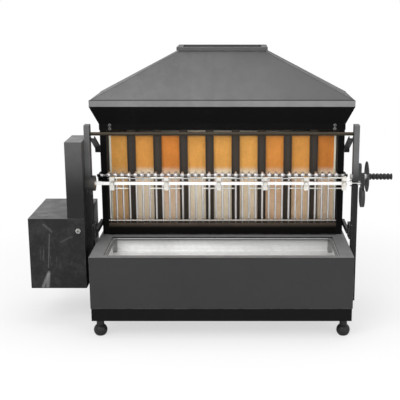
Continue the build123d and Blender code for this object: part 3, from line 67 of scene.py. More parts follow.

# Packing strips: where an edge is long enough to be cut, and how often
FIBRE_TALL, FIBRE_TALL_CUTS = 0.1, 120
FIBRE_WIDE, FIBRE_WIDE_CUTS = 0.006, 3
FIBRE_DENT = 0.0011
FIBRE_DENT_SCALE = 260

# Sheet metal
FOLD_ROUNDING = 0.0009
SHARP_FOLD = radians(35)
SAME_PLACE = 1e-6               # vertices nearer than this are merged
FLANGE_OVERHANG = 0.008
HOOD_MIDDLE_Y = 0.1385
SEAM_RADIUS = 0.0016
SEAM_RIPPLE = 0.005
SEAM_SWELL = 0.15               # share of its radius by which a seam grows and shrinks

# Drip tray, and the places between which its darker tones and painted shade come in
TRAY_FLANGE = 0.0135
TRAY_SHEET = 0.0015
TRAY_CORNER = 0.003
TRAY_BEND = 0.0025
TRAY_SHARP = radians(60)
TRAY_FLAT_FACE = 0.001          # square metres; smaller faces belong to a bend
TRAY_DULL_X = (-0.1, 0.44)
TRAY_WALL_SHADE_Z = (0.262, 0.3)
TRAY_FLANGE_Z = (0.3022, 0.3012)
TRAY_CORNER_SHADE_ACROSS = (0.4055, 0.409)
TRAY_CORNER_SHADE_Y = (-0.05, -0.042)
TRAY_FRONT_SHADOW_Y = (-0.2465, -0.2495)

# Places between which other paints and steels change tone
HOOD_FADE_Z = (0.84, 1.01)
# the hood's painted shade: towards the right, and along the crease above its rim
HOOD_SHADE_X = (-0.1, 0.5)
HOOD_CREASE_SHADE_Z = (0.8425, 0.8385)
LIP_FADE_Z = (0.335, 0.353)
POST_FADE_Z = (0.53, 0.62)
TOWER_FADE_Z = (0.5, 0.69)
GRILLE_FOOT_Z = (0.376, 0.366)
GRILLE_TOP_Z = (0.54, 0.543)
GRILLE_SHADE_BETWEEN = (0.0048, 0.007)    # from the middle of an upright; painted shade darkens the top rod beyond this

# Screws and knobs
WASHER = 0.0008
WASHER_SPREAD = 1.28
HEAD_CHAMFER = 0.0007
FORK_BLOCK = 0.016
KNOB_RADIUS = 0.0088
KNOB_LENGTH = 0.0065
KNURLS = 24
KNURL_DEPTH = 0.0006
FORKS = 6

# Welds of the charcoal grille, on both sides of each upright and where its top curls over
GRILLE_PITCH = 0.0257
GRILLE_HALF_COUNT = 17
GRILLE_ROD_RADIUS = 0.004
GRILLE_LOW_ROD = 0.020          # above the foot of the uprights
GRILLE_THIN_ROD = 0.0286        # below the top of the uprights
WELD_BEAD = 0.0017
WELD_STRETCH = (0.8, 1.1, 1.6, 1.0)
WELD_ASIDE = (0.65, 0.35)       # shares of the rod's and the bead's radius
CURL_BEAD = 0.0045
CURL_FROM_FRONT = 0.009         # behind the front of the grille
CURL_FROM_TOP = 0.0112          # below the top of the uprights

# Sockets of a Mix node that mixes colours
MIX_FACTOR, MIX_FIRST, MIX_SECOND, MIX_RESULT = 0, 6, 7, 2

# Stage
FLOOR_HALF = 12.0
FLOOR_SHADED = (0.75, 1.7)      # distances between which the floor turns white
FLOOR_GLOW = (0.6, 1.0)         # share of white near the grill and far from it
WORLD_LEVEL = (0.55, 1.0)       # as a light, and as seen or mirrored

# Light marks on the motor box's front, partly rubbed scuffs and partly painted reflections: from and to,
# across and up, then width and strength
SCUFFS_AND_REFLECTIONS = (
    ((-0.598, 0.361), (-0.6075, 0.232), 0.0035, 0.22),
    ((-0.607, 0.212), (-0.630, 0.158), 0.010, 0.45),
    ((-0.608, 0.205), (-0.614, 0.158), 0.011, 0.45),
    ((-0.618, 0.398), (-0.590, 0.372), 0.008, 0.14),
    ((-0.560, 0.330), (-0.515, 0.352), 0.004, 0.12),
)


def make_group(name, inputs, outputs):
    """An empty node group with named float sockets: its tree, its two ends and its object coordinates."""
    tree = bpy.data.node_groups.new(name, "ShaderNodeTree")
    for label, value in inputs:
        socket = tree.interface.new_socket(label, in_out="INPUT", socket_type="NodeSocketFloat")
        socket.default_value = value
    for label in outputs:
        tree.interface.new_socket(label, in_out="OUTPUT", socket_type="NodeSocketFloat")
    start = tree.nodes.new("NodeGroupInput")
    end = tree.nodes.new("NodeGroupOutput")
    where = tree.nodes.new("ShaderNodeTexCoord").outputs["Object"]
    return tree, start.outputs, end.inputs, where


def feed(tree, socket, value):
    """Give a socket a value, or a link if the value is another node's output."""
    if isinstance(value, bpy.types.NodeSocket):
        tree.links.new(value, socket)
    else:
        socket.default_value = value


def place(tree, kind, settings=None, **sockets):
    """Add a node and feed its sockets."""
    made = tree.nodes.new(kind)
    for key, value in (settings or {}).items():
        setattr(made, key, value)
    for key, value in sockets.items():
        feed(tree, made.inputs[key.replace("_", " ")], value)
    return made


def sums(tree, operation, first, second=0.0, third=0.0, clamp=False):
    """A Math node's output."""
    made = tree.nodes.new("ShaderNodeMath")
    made.operation, made.use_clamp = operation, clamp
    for socket, value in zip(made.inputs, (first, second, third)):
        feed(tree, socket, value)
    return made.outputs[0]


def vectors(tree, operation, first, second, output="Vector"):
    """One output of a Vector Math node."""
    made = tree.nodes.new("ShaderNodeVectorMath")
    made.operation = operation
    for socket, value in zip(made.inputs, (first, second)):
        feed(tree, socket, value)
    return made.outputs[output]


def ramp(tree, value, low, high):
    """A smooth step from 0 at low to 1 at high."""
    made = place(tree, "ShaderNodeMapRange", {"interpolation_type": "SMOOTHSTEP"},
                 Value=value, From_Min=low, From_Max=high)
    return made.outputs["Result"]


def build_grain():
    """Fine grain of paint or clay: a value round one half."""
    tree, given, out, where = make_group("Grain", (("Scale", 300.0), ("Detail", 4.0)), ("Value",))
    field = place(tree, "ShaderNodeTexNoise", Vector=where, Scale=given["Scale"], Detail=given["Detail"],
                  Roughness=0.65)
    tree.links.new(field.outputs["Fac"], out["Value"])
    return tree


def build_patches():
    """Soft-edged patches of grime, dust or ash."""
    tree, given, out, where = make_group(
        "Patches", (("Scale", 6.0), ("Start", 0.5), ("End", 0.7), ("Breakup", 40.0)), ("Mask",))
    broad = place(tree, "ShaderNodeTexNoise", Vector=where, Scale=given["Scale"], Detail=5.0, Roughness=0.6)
    fine = place(tree, "ShaderNodeTexNoise", Vector=where, Scale=given["Breakup"], Detail=3.0)
    mixed = sums(tree, "MULTIPLY_ADD", fine.outputs["Fac"], 0.3,
                 sums(tree, "MULTIPLY", broad.outputs["Fac"], 0.7))
    tree.links.new(ramp(tree, mixed, given["Start"], given["End"]), out["Mask"])
    return tree


def build_streaks():
    """Marks drawn out along one axis: brushing along X, or runs down Z."""
    tree, given, out, where = make_group(
        "Streaks", (("Scale", 60.0), ("Along X", 0.02), ("Along Y", 1.0), ("Along Z", 1.0)), ("Value",))
    stretch = place(tree, "ShaderNodeCombineXYZ", X=given["Along X"], Y=given["Along Y"], Z=given["Along Z"])
    drawn = place(tree, "ShaderNodeVectorMath", {"operation": "MULTIPLY"})
    tree.links.new(where, drawn.inputs[0])
    tree.links.new(stretch.outputs[0], drawn.inputs[1])
    field = place(tree, "ShaderNodeTexNoise", Vector=drawn.outputs[0], Scale=given["Scale"], Detail=6.0,
                  Roughness=0.7)
    tree.links.new(field.outputs["Fac"], out["Value"])
    return tree


def build_scratches():
    """Thin scratches at two slants, where a broad field lets them show."""
    tree, given, out, where = make_group(
        "Scratches", (("Scale", 9.0), ("Width", 0.012), ("Share", 0.55)), ("Mask",))
    lines = []
    for turn, warp in ((0.6, 3.0), (-0.9, 5.0)):
        turned = place(tree, "ShaderNodeMapping", Vector=where, Rotation=(0.3, turn, 0.2),
                       Scale=(warp, 0.5, 0.35))
        field = place(tree, "ShaderNodeTexNoise", Vector=turned.outputs[0], Scale=given["Scale"], Detail=2.0)
        offset = sums(tree, "ABSOLUTE", sums(tree, "SUBTRACT", field.outputs["Fac"], 0.5))
        lines.append(sums(tree, "LESS_THAN", offset, given["Width"]))
    shown = place(tree, "ShaderNodeTexNoise", Vector=where, Scale=5.0, Detail=3.0)
    gate = ramp(tree, shown.outputs["Fac"], given["Share"], sums(tree, "ADD", given["Share"], 0.1))
    both = sums(tree, "MAXIMUM", lines[0], lines[1])
    tree.links.new(sums(tree, "MULTIPLY", both, gate), out["Mask"])
    return tree


def build_edges():
    """Sharp edges and corners, in broken patches."""
    tree, given, out, where = make_group("Rubbed edges", (("Radius", 0.002), ("Breakup", 38.0)), ("Mask",))
    rounded = place(tree, "ShaderNodeBevel", {"samples": 4}, Radius=given["Radius"]).outputs["Normal"]
    flat = place(tree, "ShaderNodeNewGeometry").outputs["Normal"]
    facing = vectors(tree, "DOT_PRODUCT", rounded, flat, "Value")
    broken = place(tree, "ShaderNodeTexNoise", Vector=where, Scale=given["Breakup"], Detail=4.0)
    mask = sums(tree, "MULTIPLY", ramp(tree, facing, 0.99, 0.86),
                ramp(tree, broken.outputs["Fac"], 0.38, 0.6))
    tree.links.new(mask, out["Mask"])
    return tree


def build_lit_tops():
    """Faces that look up, lightened as painted top light, broken up by a cloud."""
    tree, given, out, where = make_group("Painted_top_light", (("Scale", 14.0), ("Bare", 0.35)), ("Mask",))
    normal = place(tree, "ShaderNodeTexCoord").outputs["Normal"]
    facing = place(tree, "ShaderNodeSeparateXYZ", Vector=normal).outputs["Z"]
    cloud = place(tree, "ShaderNodeTexNoise", Vector=where, Scale=given["Scale"], Detail=4.0).outputs["Fac"]
    kept = sums(tree, "SUBTRACT", 1.0, sums(tree, "MULTIPLY", given["Bare"], cloud))
    tree.links.new(sums(tree, "MULTIPLY", ramp(tree, facing, 0.75, 0.95), kept), out["Mask"])
    return tree


def build_stroke():
    """A mark on a face that looks forward, along the line between two places."""
    tree, given, out, where = make_group(
        "Stroke", (("From X", 0.0), ("From Z", 0.0), ("To X", 0.0), ("To Z", 1.0), ("Width", 0.003)),
        ("Mask",))
    spot = vectors(tree, "MULTIPLY", where, (1, 0, 1))
    start = place(tree, "ShaderNodeCombineXYZ", X=given["From X"], Z=given["From Z"]).outputs[0]
    end = place(tree, "ShaderNodeCombineXYZ", X=given["To X"], Z=given["To Z"]).outputs[0]
    reach, line = vectors(tree, "SUBTRACT", spot, start), vectors(tree, "SUBTRACT", end, start)
    length = vectors(tree, "DOT_PRODUCT", line, line, "Value")
    share = sums(tree, "DIVIDE", vectors(tree, "DOT_PRODUCT", reach, line, "Value"), length, clamp=True)
    along = place(tree, "ShaderNodeVectorMath", {"operation": "SCALE"}, Scale=share)
    tree.links.new(line, along.inputs[0])
    away = vectors(tree, "DISTANCE", reach, along.outputs[0], "Value")
    ragged = place(tree, "ShaderNodeTexNoise", Vector=where, Scale=260.0, Detail=4.0).outputs["Fac"]
    edge = sums(tree, "MULTIPLY", given["Width"], sums(tree, "MULTIPLY", ragged, 1.6))
    near = ramp(tree, away, edge, sums(tree, "MULTIPLY", edge, 0.35))
    front = place(tree, "ShaderNodeSeparateXYZ", Vector=place(tree, "ShaderNodeTexCoord").outputs["Normal"])
    tree.links.new(sums(tree, "MULTIPLY", near, ramp(tree, front.outputs["Y"], -0.5, -0.9)), out["Mask"])
    return tree


GRAIN, PATCHES, STREAKS, SCRATCHES = build_grain(), build_patches(), build_streaks(), build_scratches()
EDGES, LIT_TOPS, STROKE = build_edges(), build_lit_tops(), build_stroke()


class Finish:
    """A material being put together: its tree, its Principled shader, and steps that finishes share."""

    def __init__(self, name, color, roughness, metallic=0.0, **extra):
        self.material = bpy.data.materials.new(name)
        self.material.use_nodes = True
        self.tree = self.material.node_tree
        self.shader = self.tree.nodes["Principled BSDF"]
        self.shader.inputs["Base Color"].default_value = (*color, 1)
        self.shader.inputs["Roughness"].default_value = roughness
        self.shader.inputs["Metallic"].default_value = metallic
        for key, value in extra.items():
            self.shader.inputs[key.replace("_", " ")].default_value = value
        self.color = (*color, 1)
        self.height = None

    def group(self, tree, **values):
        """A shared group's first output, with this finish's own values."""
        made = self.tree.nodes.new("ShaderNodeGroup")
        made.node_tree = tree
        for key, value in values.items():
            made.inputs[key.replace("_", " ")].default_value = value
        return made.outputs[0]

    def where(self):
        """Object coordinates, split in X, Y and Z."""
        source = place(self.tree, "ShaderNodeTexCoord").outputs["Object"]
        return place(self.tree, "ShaderNodeSeparateXYZ", Vector=source).outputs

    def tint(self, mask, color, strength=1.0):
        """Blend another colour in where the mask is."""
        mixed = place(self.tree, "ShaderNodeMix", {"data_type": "RGBA"})
        factor = mask if strength == 1.0 else sums(self.tree, "MULTIPLY", mask, strength)
        for index, value in ((MIX_FACTOR, factor), (MIX_FIRST, self.color), (MIX_SECOND, (*color, 1))):
            feed(self.tree, mixed.inputs[index], value)
        self.color = mixed.outputs[MIX_RESULT]
        self.tree.links.new(self.color, self.shader.inputs["Base Color"])
        return self

    def vary(self, value, depth):
        """Lighten and darken the colour round its own tone."""
        scale = sums(self.tree, "MULTIPLY_ADD", value, 2 * depth, 1 - depth)
        mixed = place(self.tree, "ShaderNodeVectorMath", {"operation": "SCALE"}, Scale=scale)
        if isinstance(self.color, bpy.types.NodeSocket):
            self.tree.links.new(self.color, mixed.inputs[0])
        else:
            mixed.inputs[0].default_value = self.color[:3]
        self.color = mixed.outputs[0]
        self.tree.links.new(self.color, self.shader.inputs["Base Color"])
        return self

    def rough(self, value, low, high):
        """Roughness between two limits."""
        made = place(self.tree, "ShaderNodeMapRange", Value=value, From_Min=0.3, From_Max=0.7, To_Min=low,
                     To_Max=high)
        self.tree.links.new(made.outputs[0], self.shader.inputs["Roughness"])
        return self

    def bump(self, value, distance, strength=1.0):
        """A bump on top of the ones before it, distance in metres."""
        made = place(self.tree, "ShaderNodeBump", Height=value, Distance=distance, Strength=strength)
        if self.height is not None:
            self.tree.links.new(self.height, made.inputs["Normal"])
        self.height = made.outputs["Normal"]
        self.tree.links.new(self.height, self.shader.inputs["Normal"])
        return self


def paint(name, color, roughness=0.5, grain=900.0, edge=0.3, scratched=0.0, dusty=0.0, top=None, fade=None,
          shine=0.25, runs=0.0):
    """Sprayed paint on sheet steel: orange peel, clouding, painted top light on faces that look up, rubbed
    edges, scratches and dust.

    fade is a colour that comes in between two heights, runs are streaks down the sheet, and top is the colour
    of the painted top light.
    """
    finish = Finish(name, color, roughness, Specular_IOR_Level=shine)
    cloud = finish.group(PATCHES, Scale=3.0, Start=0.35, End=0.65, Breakup=25.0)
    peel = finish.group(GRAIN, Scale=grain, Detail=3.0)
    if fade:
        finish.tint(ramp(finish.tree, finish.where()["Z"], *fade[1]), fade[0])
    finish.vary(cloud, 0.12).vary(peel, 0.2)
    if runs:
        finish.vary(finish.group(STREAKS, Scale=26.0, Along_X=1.0, Along_Y=1.0, Along_Z=0.06), runs)
    # painted top light: faces that look up are lightened towards the top colour
    if top:
        finish.tint(finish.group(LIT_TOPS, Scale=14.0, Bare=0.35), top)
    if dusty:
        dust = finish.group(PATCHES, Scale=5.0, Start=0.5, End=0.72, Breakup=90.0)
        finish.tint(dust, (0.3, 0.29, 0.27), dusty)
    if scratched:
        marks = finish.group(SCRATCHES, Scale=9.0, Width=0.008, Share=0.56)
        finish.tint(marks, (0.32, 0.32, 0.32), scratched)
    finish.tint(finish.group(EDGES, Radius=0.0018, Breakup=38.0), (0.36, 0.35, 0.34), edge)
    return finish.rough(cloud, roughness - 0.06, roughness + 0.1).bump(peel, 0.0004, 0.5)


def hood_paint():
    """Grey paint of the hood, with painted shade to the right and along the crease where the cone meets its
    rim.
    """
    finish = paint("satin grey hood paint", (0.14, 0.14, 0.142), 0.55, edge=0.2, dusty=0.08, shine=0.15,
                   runs=0.1, fade=((0.115, 0.115, 0.117), HOOD_FADE_Z))
    spot = finish.where()
    # painted shade: darker towards the right
    finish.tint(ramp(finish.tree, spot["X"], *HOOD_SHADE_X), (0.085, 0.085, 0.087), 0.7)
    # painted shade: a dark line along the crease above the rim
    return finish.tint(ramp(finish.tree, spot["Z"], *HOOD_CREASE_SHADE_Z), (0.025, 0.025, 0.025), 0.7)


def scuffed_and_glinting_box():
    """Black motor box paint with light marks on its front, partly rubbed in by years of handling and partly
    painted reflections.
    """
    finish = paint("black motor box paint", (0.013, 0.013, 0.0135), 0.45, edge=0.3, scratched=0.3,
                   dusty=0.06, top=(0.17, 0.17, 0.17), shine=0.15)
    mottle = finish.group(PATCHES, Scale=22.0, Start=0.42, End=0.66, Breakup=160.0)
    finish.tint(mottle, (0.038, 0.038, 0.039), 0.5)
    # light marks: partly rubbed scuffs, partly painted reflections
    for start, end, width, strength in SCUFFS_AND_REFLECTIONS:
        mark = finish.group(STROKE, From_X=start[0], From_Z=start[1], To_X=end[0], To_Z=end[1], Width=width)
        finish.tint(mark, (0.24, 0.24, 0.24), strength)
    return finish


def steel(name, color, roughness=0.28, along="X", metallic=1.0):
    """Drawn or brushed bright steel, its marks running along one axis."""
    finish = Finish(name, color, roughness, metallic=metallic)
    stretch = {f"Along_{axis}": (0.03 if axis == along else 1.0) for axis in "XYZ"}
    drawn = finish.group(STREAKS, Scale=420.0, **stretch)
    cloud = finish.group(PATCHES, Scale=7.0, Start=0.35, End=0.7, Breakup=60.0)
    finish.vary(drawn, 0.16).vary(cloud, 0.1)
    return finish.rough(drawn, roughness - 0.1, roughness + 0.16).bump(drawn, 0.0002, 0.35)


def grille_steel():
    """Grille rods, dulled along the bottom rod, with painted shade on the top rod between the hooked ends."""
    finish = steel("drawn steel rod", (0.77, 0.755, 0.755), 0.34, along="Z")
    spot = finish.where()
    finish.tint(ramp(finish.tree, spot["Z"], *GRILLE_FOOT_Z), (0.33, 0.3, 0.27), 0.85)
    # painted shade on the top rod between the hooked ends of the uprights
    step = sums(finish.tree, "DIVIDE", sums(finish.tree, "SUBTRACT", spot["X"], MIDDLE_X), GRILLE_PITCH)
    aside = sums(finish.tree, "MULTIPLY", sums(finish.tree, "PINGPONG", step, 0.5), GRILLE_PITCH)
    between = ramp(finish.tree, aside, *GRILLE_SHADE_BETWEEN)
    high = ramp(finish.tree, spot["Z"], *GRILLE_TOP_Z)
    return finish.tint(sums(finish.tree, "MULTIPLY", between, high), (0.1, 0.09, 0.085), 0.9)


def brick_clay():
    """Orange firebrick in its own tone, ashy where the coals lie, with painted shade at its edges and near the
    top, and painted light on faces that look up.
    """
    finish = Finish("firebrick clay", (0.73, 0.37, 0.092), 0.9, Specular_IOR_Level=0.2)
    tone = place(finish.tree, "ShaderNodeAttribute", {"attribute_name": "fired"}).outputs["Fac"]
    finish.tint(tone, (0.64, 0.215, 0.042))
    grit = finish.group(GRAIN, Scale=520.0, Detail=6.0)
    cloud = finish.group(PATCHES, Scale=9.0, Start=0.32, End=0.68, Breakup=70.0)
    runs = finish.group(STREAKS, Scale=70.0, Along_X=1.0, Along_Y=1.0, Along_Z=0.12)
    finish.vary(cloud, 0.1).vary(runs, 0.1).vary(grit, 0.16)
    height = finish.where()["Z"]
    coals = ramp(finish.tree, height, *COAL_LINE)
    share = place(finish.tree, "ShaderNodeAttribute", {"attribute_name": "ash"}).outputs["Fac"]
    dusted = sums(finish.tree, "MULTIPLY", share, sums(finish.tree, "MULTIPLY_ADD", cloud, 0.35, 0.7))
    ashy = sums(finish.tree, "MULTIPLY", coals, dusted)
    finish.tint(ashy, (0.95, 0.87, 0.69), 0.9)
    # painted shade near the top of the bricks, under the hood
    finish.tint(ramp(finish.tree, height, *TOP_SHADE_LINE), (0.2, 0.12, 0.07), 0.7)
    # painted light on the bricks' upward faces
    finish.tint(finish.group(LIT_TOPS, Scale=30.0, Bare=0.2), (0.8, 0.76, 0.68))
    # painted shade along the bricks' edges, where the bars in front shade them
    painted_edge_shade = finish.group(EDGES, Radius=0.006, Breakup=20.0)
    finish.tint(painted_edge_shade, (0.3, 0.13, 0.05), 0.5)
    pits = finish.group(PATCHES, Scale=130.0, Start=0.6, End=0.68, Breakup=600.0)
    return finish.tint(pits, (0.36, 0.17, 0.07), 0.5).bump(grit, 0.0009).bump(pits, -0.0012)


def fibre():
    """Cream ceramic fibre."""
    finish = Finish("ceramic fibre", (0.88, 0.84, 0.68), 0.95)
    tufts = finish.group(GRAIN, Scale=700.0, Detail=6.0)
    return finish.vary(tufts, 0.25).bump(tufts, 0.0015)


def rack_iron():
    """Dark iron bars, browned by heat and dusted with ash."""
    finish = Finish("heat-browned iron", (0.048, 0.04, 0.034), 0.62, metallic=0.2, Specular_IOR_Level=0.25)
    cloud = finish.group(PATCHES, Scale=12.0, Start=0.35, End=0.7, Breakup=120.0)
    scale = finish.group(GRAIN, Scale=500.0, Detail=6.0)
    finish.vary(scale, 0.35).tint(cloud, (0.1, 0.075, 0.055), 0.5)
    return finish.rough(cloud, 0.5, 0.75).bump(scale, 0.0006)


def cast_black(name, color):
    """Blackened cast or turned iron."""
    finish = Finish(name, color, 0.42, metallic=0.4, Specular_IOR_Level=0.3)
    skin = finish.group(GRAIN, Scale=420.0, Detail=5.0)
    return finish.vary(skin, 0.3).rough(skin, 0.34, 0.55).bump(skin, 0.0007, 0.6)


def bronze():
    """Bearing bronze."""
    finish = Finish("bearing bronze", (0.5, 0.33, 0.13), 0.35, metallic=1.0)
    return finish.vary(finish.group(GRAIN, Scale=400.0, Detail=4.0), 0.2)


def moulded(name, color):
    """Moulded black plastic with a fine grain."""
    finish = Finish(name, color, 0.38, Specular_IOR_Level=0.3)
    skin = finish.group(GRAIN, Scale=1300.0, Detail=3.0)
    return finish.vary(skin, 0.2).rough(skin, 0.32, 0.5).bump(skin, 0.0003, 0.5)


def board():
    """Pale insulating board."""
    finish = Finish("insulating board", (0.55, 0.5, 0.42), 0.95)
    skin = finish.group(GRAIN, Scale=240.0, Detail=6.0)
    return finish.vary(skin, 0.2).bump(skin, 0.001)


def greasy_tray():
    """Brushed stainless with fat and burnt drips, darker to the right, with painted shade up the walls, in the
    back corners and along the front.
    """
    finish = steel("brushed tray steel", (0.85, 0.85, 0.845), 0.42, along="X", metallic=0.3)
    spot = finish.where()
    finish.vary(finish.group(STREAKS, Scale=40.0, Along_X=0.05, Along_Y=1.0, Along_Z=1.0), 0.3)
    finish.tint(ramp(finish.tree, spot["X"], *TRAY_DULL_X), (0.55, 0.55, 0.54), 0.45)
    film = finish.group(PATCHES, Scale=5.0, Start=0.5, End=0.75, Breakup=50.0)
    finish.tint(film, (0.6, 0.58, 0.54), 0.45)
    drips = finish.group(PATCHES, Scale=46.0, Start=0.66, End=0.7, Breakup=90.0)
    finish.tint(drips, (0.2, 0.17, 0.14), 0.4)
    # painted shade up the tray's walls
    walls = sums(finish.tree, "MULTIPLY", ramp(finish.tree, spot["Z"], *TRAY_WALL_SHADE_Z),
                 ramp(finish.tree, spot["Z"], *TRAY_FLANGE_Z))
    finish.tint(walls, (0.28, 0.28, 0.28), 0.62)
    # painted shade in the tray's back corners
    across = sums(finish.tree, "ABSOLUTE", sums(finish.tree, "SUBTRACT", spot["X"], MIDDLE_X))
    tray_corner_shade = sums(finish.tree, "MULTIPLY", ramp(finish.tree, across, *TRAY_CORNER_SHADE_ACROSS),
                   ramp(finish.tree, spot["Y"], *TRAY_CORNER_SHADE_Y))
    finish.tint(tray_corner_shade, (0.05, 0.05, 0.05), 0.6)
    # painted shadow along the tray's front, under the base's rim
    front = ramp(finish.tree, spot["Y"], *TRAY_FRONT_SHADOW_Y)
    return finish.tint(front, (0.06, 0.055, 0.05), 0.85)


# top= is the colour of painted top light on faces that look up
FINISHES = {
    "base": paint("satin black base paint", (0.024, 0.024, 0.025), 0.55, edge=0.4, top=(0.21, 0.21, 0.21)),
    "plinth": paint("dark plinth paint", (0.005, 0.005, 0.0052), 0.6, edge=0.15, shine=0.08),
    "firebox": paint("heatproof black paint", (0.004, 0.004, 0.004), 0.7, grain=700.0, edge=0.12,
                     dusty=0.012, top=(0.05, 0.05, 0.05), shine=0.05),
    "lip": paint("browned black lip paint", (0.003, 0.0026, 0.0023), 0.65, edge=0.2, shine=0.06,
                 fade=((0.065, 0.05, 0.04), LIP_FADE_Z)),
    "hood": hood_paint(),
    "flue": paint("dark flue paint", (0.075, 0.075, 0.075), 0.55, edge=0.3, shine=0.2),
    "rim": paint("grey rim paint", (0.185, 0.185, 0.185), 0.5, edge=0.3, shine=0.2),
    "post": paint("black post paint", (0.011, 0.011, 0.012), 0.5, scratched=0.2, edge=0.25, shine=0.2,
                  fade=((0.105, 0.105, 0.107), POST_FADE_Z)),
    # edge=0.9 lightens the brackets' edges strongly: rubbed wear and painted highlight along the struts
    "bracket": paint("black bracket paint", (0.008, 0.008, 0.008), 0.5, edge=0.9, shine=0.15),
    "box": scuffed_and_glinting_box(),
    "tower": paint("black tower paint", (0.0105, 0.0105, 0.011), 0.45, scratched=0.2, edge=0.25, shine=0.2,
                   top=(0.19, 0.19, 0.19), fade=((0.072, 0.072, 0.074), TOWER_FADE_Z)),
    "latch": paint("dark grey latch paint", (0.03, 0.03, 0.03), 0.45, scratched=0.3, edge=0.5, shine=0.3),
    "motor": paint("grey motor paint", (0.16, 0.18, 0.2), 0.4, dusty=0.25, shine=0.4),
    "rod": grille_steel(),
    "weld": steel("weld metal", (0.85, 0.84, 0.86), 0.4, along="Z"),
    "spit": steel("polished spit steel", (0.86, 0.855, 0.84), 0.25, along="X"),
    "fork": steel("fork steel", (0.7, 0.685, 0.64), 0.3, along="X"),
    "rail": steel("dull rail steel", (0.055, 0.046, 0.034), 0.5, along="X"),
    "tray": greasy_tray(),
    "bolt": steel("zinc bolt steel", (0.5, 0.5, 0.48), 0.38, along="Y"),
    "black bolt": paint("blackened bolt heads", (0.02, 0.02, 0.02), 0.45, edge=1.0, shine=0.4),
    "brick": brick_clay(),
    "fibre": fibre(),
    "rack": rack_iron(),
    "foot": cast_black("blackened foot iron", (0.022, 0.022, 0.022)),
    "oiled": cast_black("oiled dark steel", (0.05, 0.048, 0.045)),
    "bronze": bronze(),
    "plastic": moulded("moulded black plastic", (0.012, 0.012, 0.012)),
    "board": board(),
}

NODE_FINISHES = {
    "base": ("base_box",),
    "plinth": ("base_plinth",),
    # hood_flare is part of the hood's sheet; it takes the near-black firebox paint as painted shade, because
    # it faces down into shadow
    "firebox": ("firebox_shell", "side_frame_left", "side_frame_right", "hood_flare", "grille_hooks"),
    "lip": ("firebox_lip",),
    "hood": ("hood_cone",),
    "flue": ("flue_flange",),
    "rim": ("hood_rim",),
    "post": ("left_post", "right_post"),
    "bracket": ("upper_struts", "lower_brackets", "post_spacers", "motor_stand"),
    "box": ("motor_box", "motor_box_cover"),
    "tower": ("chain_tower", "tower_cover"),
    "latch": ("latch_boss", "latch_plate", "guard_disc"),
    "motor": ("gearbox", "motor"),
    "rod": ("charcoal_grille",),
    "spit": ("spit_rod", "drive_shaft", "motor_shaft", "latch_shaft"),
    "fork": tuple(f"spit_fork_{number}" for number in range(1, FORKS + 1)),
    "rail": ("top_rail",),
    "tray": ("drip_tray",),
    "bolt": ("foot_nuts", "post_bolts", "box_bolts", "cover_screws", "toggle_switch", "switch_lever",
             "latch_nut"),
    "black bolt": ("hood_bolts",),
    "brick": ("firebricks",),
    "fibre": ("packing_strips",),
    "rack": ("brick_rack",),
    "foot": ("ball_feet",),
    "oiled": ("drive_boss", "outboard_bearing", "drive_chain", "driven_sprocket", "motor_sprocket"),
    "bronze": ("drive_bush",),
    "plastic": ("handle_grip", "cable_gland"),
    "board": ("insulating_board",),
}

# Folded and welded sheet pieces whose edges are softened
FOLDED = ("base_plinth", "hood_flare", "hood_rim", "hood_cone", "flue_flange", "side_frame_left",
          "side_frame_right", "firebox_lip", "left_post", "right_post", "lower_brackets", "grille_hooks",
          "motor_box", "motor_box_cover", "chain_tower", "tower_cover", "latch_boss")


def finish_nodes():
    """Give each CAD piece its finish."""
    for finish, names in NODE_FINISHES.items():
        for name in names:
            mesh = nodes[name].data
            mesh.materials.clear()
            mesh.materials.append(FINISHES[finish].material)


def into_piece(shape, name, finish, body, stands_for=()):
    """Turn a bmesh into a piece that rides on a body, with one finish."""
    mesh = bpy.data.meshes.new(name)
    bmesh.ops.recalc_face_normals(shape, faces=shape.faces)
    shape.to_mesh(mesh)
    shape.free()
    mesh.materials.append(FINISHES[finish].material)
    piece = bpy.data.objects.new(name, mesh)
    bpy.context.scene.collection.objects.link(piece)
    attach(piece, body)
    if stands_for:
        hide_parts(*stands_for)
    return piece


def loose_parts(node):
    """The lowest and highest corner of each separate solid in a CAD piece."""
    shape = bmesh.new()
    shape.from_mesh(nodes[node].data)
    bmesh.ops.remove_doubles(shape, verts=shape.verts, dist=SAME_PLACE)
    seen, boxes = set(), []
    for start in shape.verts:
        if start in seen:
            continue
        seen.add(start)
        queue, corners = [start], []
        while queue:
            vert = queue.pop()
            corners.append(vert.co.copy())
            for edge in vert.link_edges:
                other = edge.other_vert(vert)
                if other not in seen:
                    seen.add(other)
                    queue.append(other)
        low = Vector([min(co[axis] for co in corners) for axis in range(3)])
        high = Vector([max(co[axis] for co in corners) for axis in range(3)])
        boxes.append((low, high))
    shape.free()
    return boxes


def turned_to(seat, outward):
    """The matrix that stands a shape made along Z on a seat, pointing outward."""
    turned = Vector(outward).to_track_quat("Z", "Y").to_matrix().to_4x4()
    turned.translation = seat
    return turned


def bevelled(shape, edges, offset, segments=2):
    """Round over some edges."""
    bmesh.ops.bevel(shape, geom=edges, offset=offset, offset_type="OFFSET", segments=segments, profile=0.5,
                    affect="EDGES", material=-1, clamp_overlap=True)


def block(shape, low, high):
    """Add a box between two corners, and give its vertices."""
    made = bmesh.ops.create_cube(shape, size=1.0)["verts"]
    bmesh.ops.scale(shape, vec=high - low, verts=made)
    bmesh.ops.translate(shape, vec=(low + high) / 2, verts=made)
    return made


def smooth_faces(shape):
    """Shade every face smooth."""
    for face in shape.faces:
        face.smooth = True


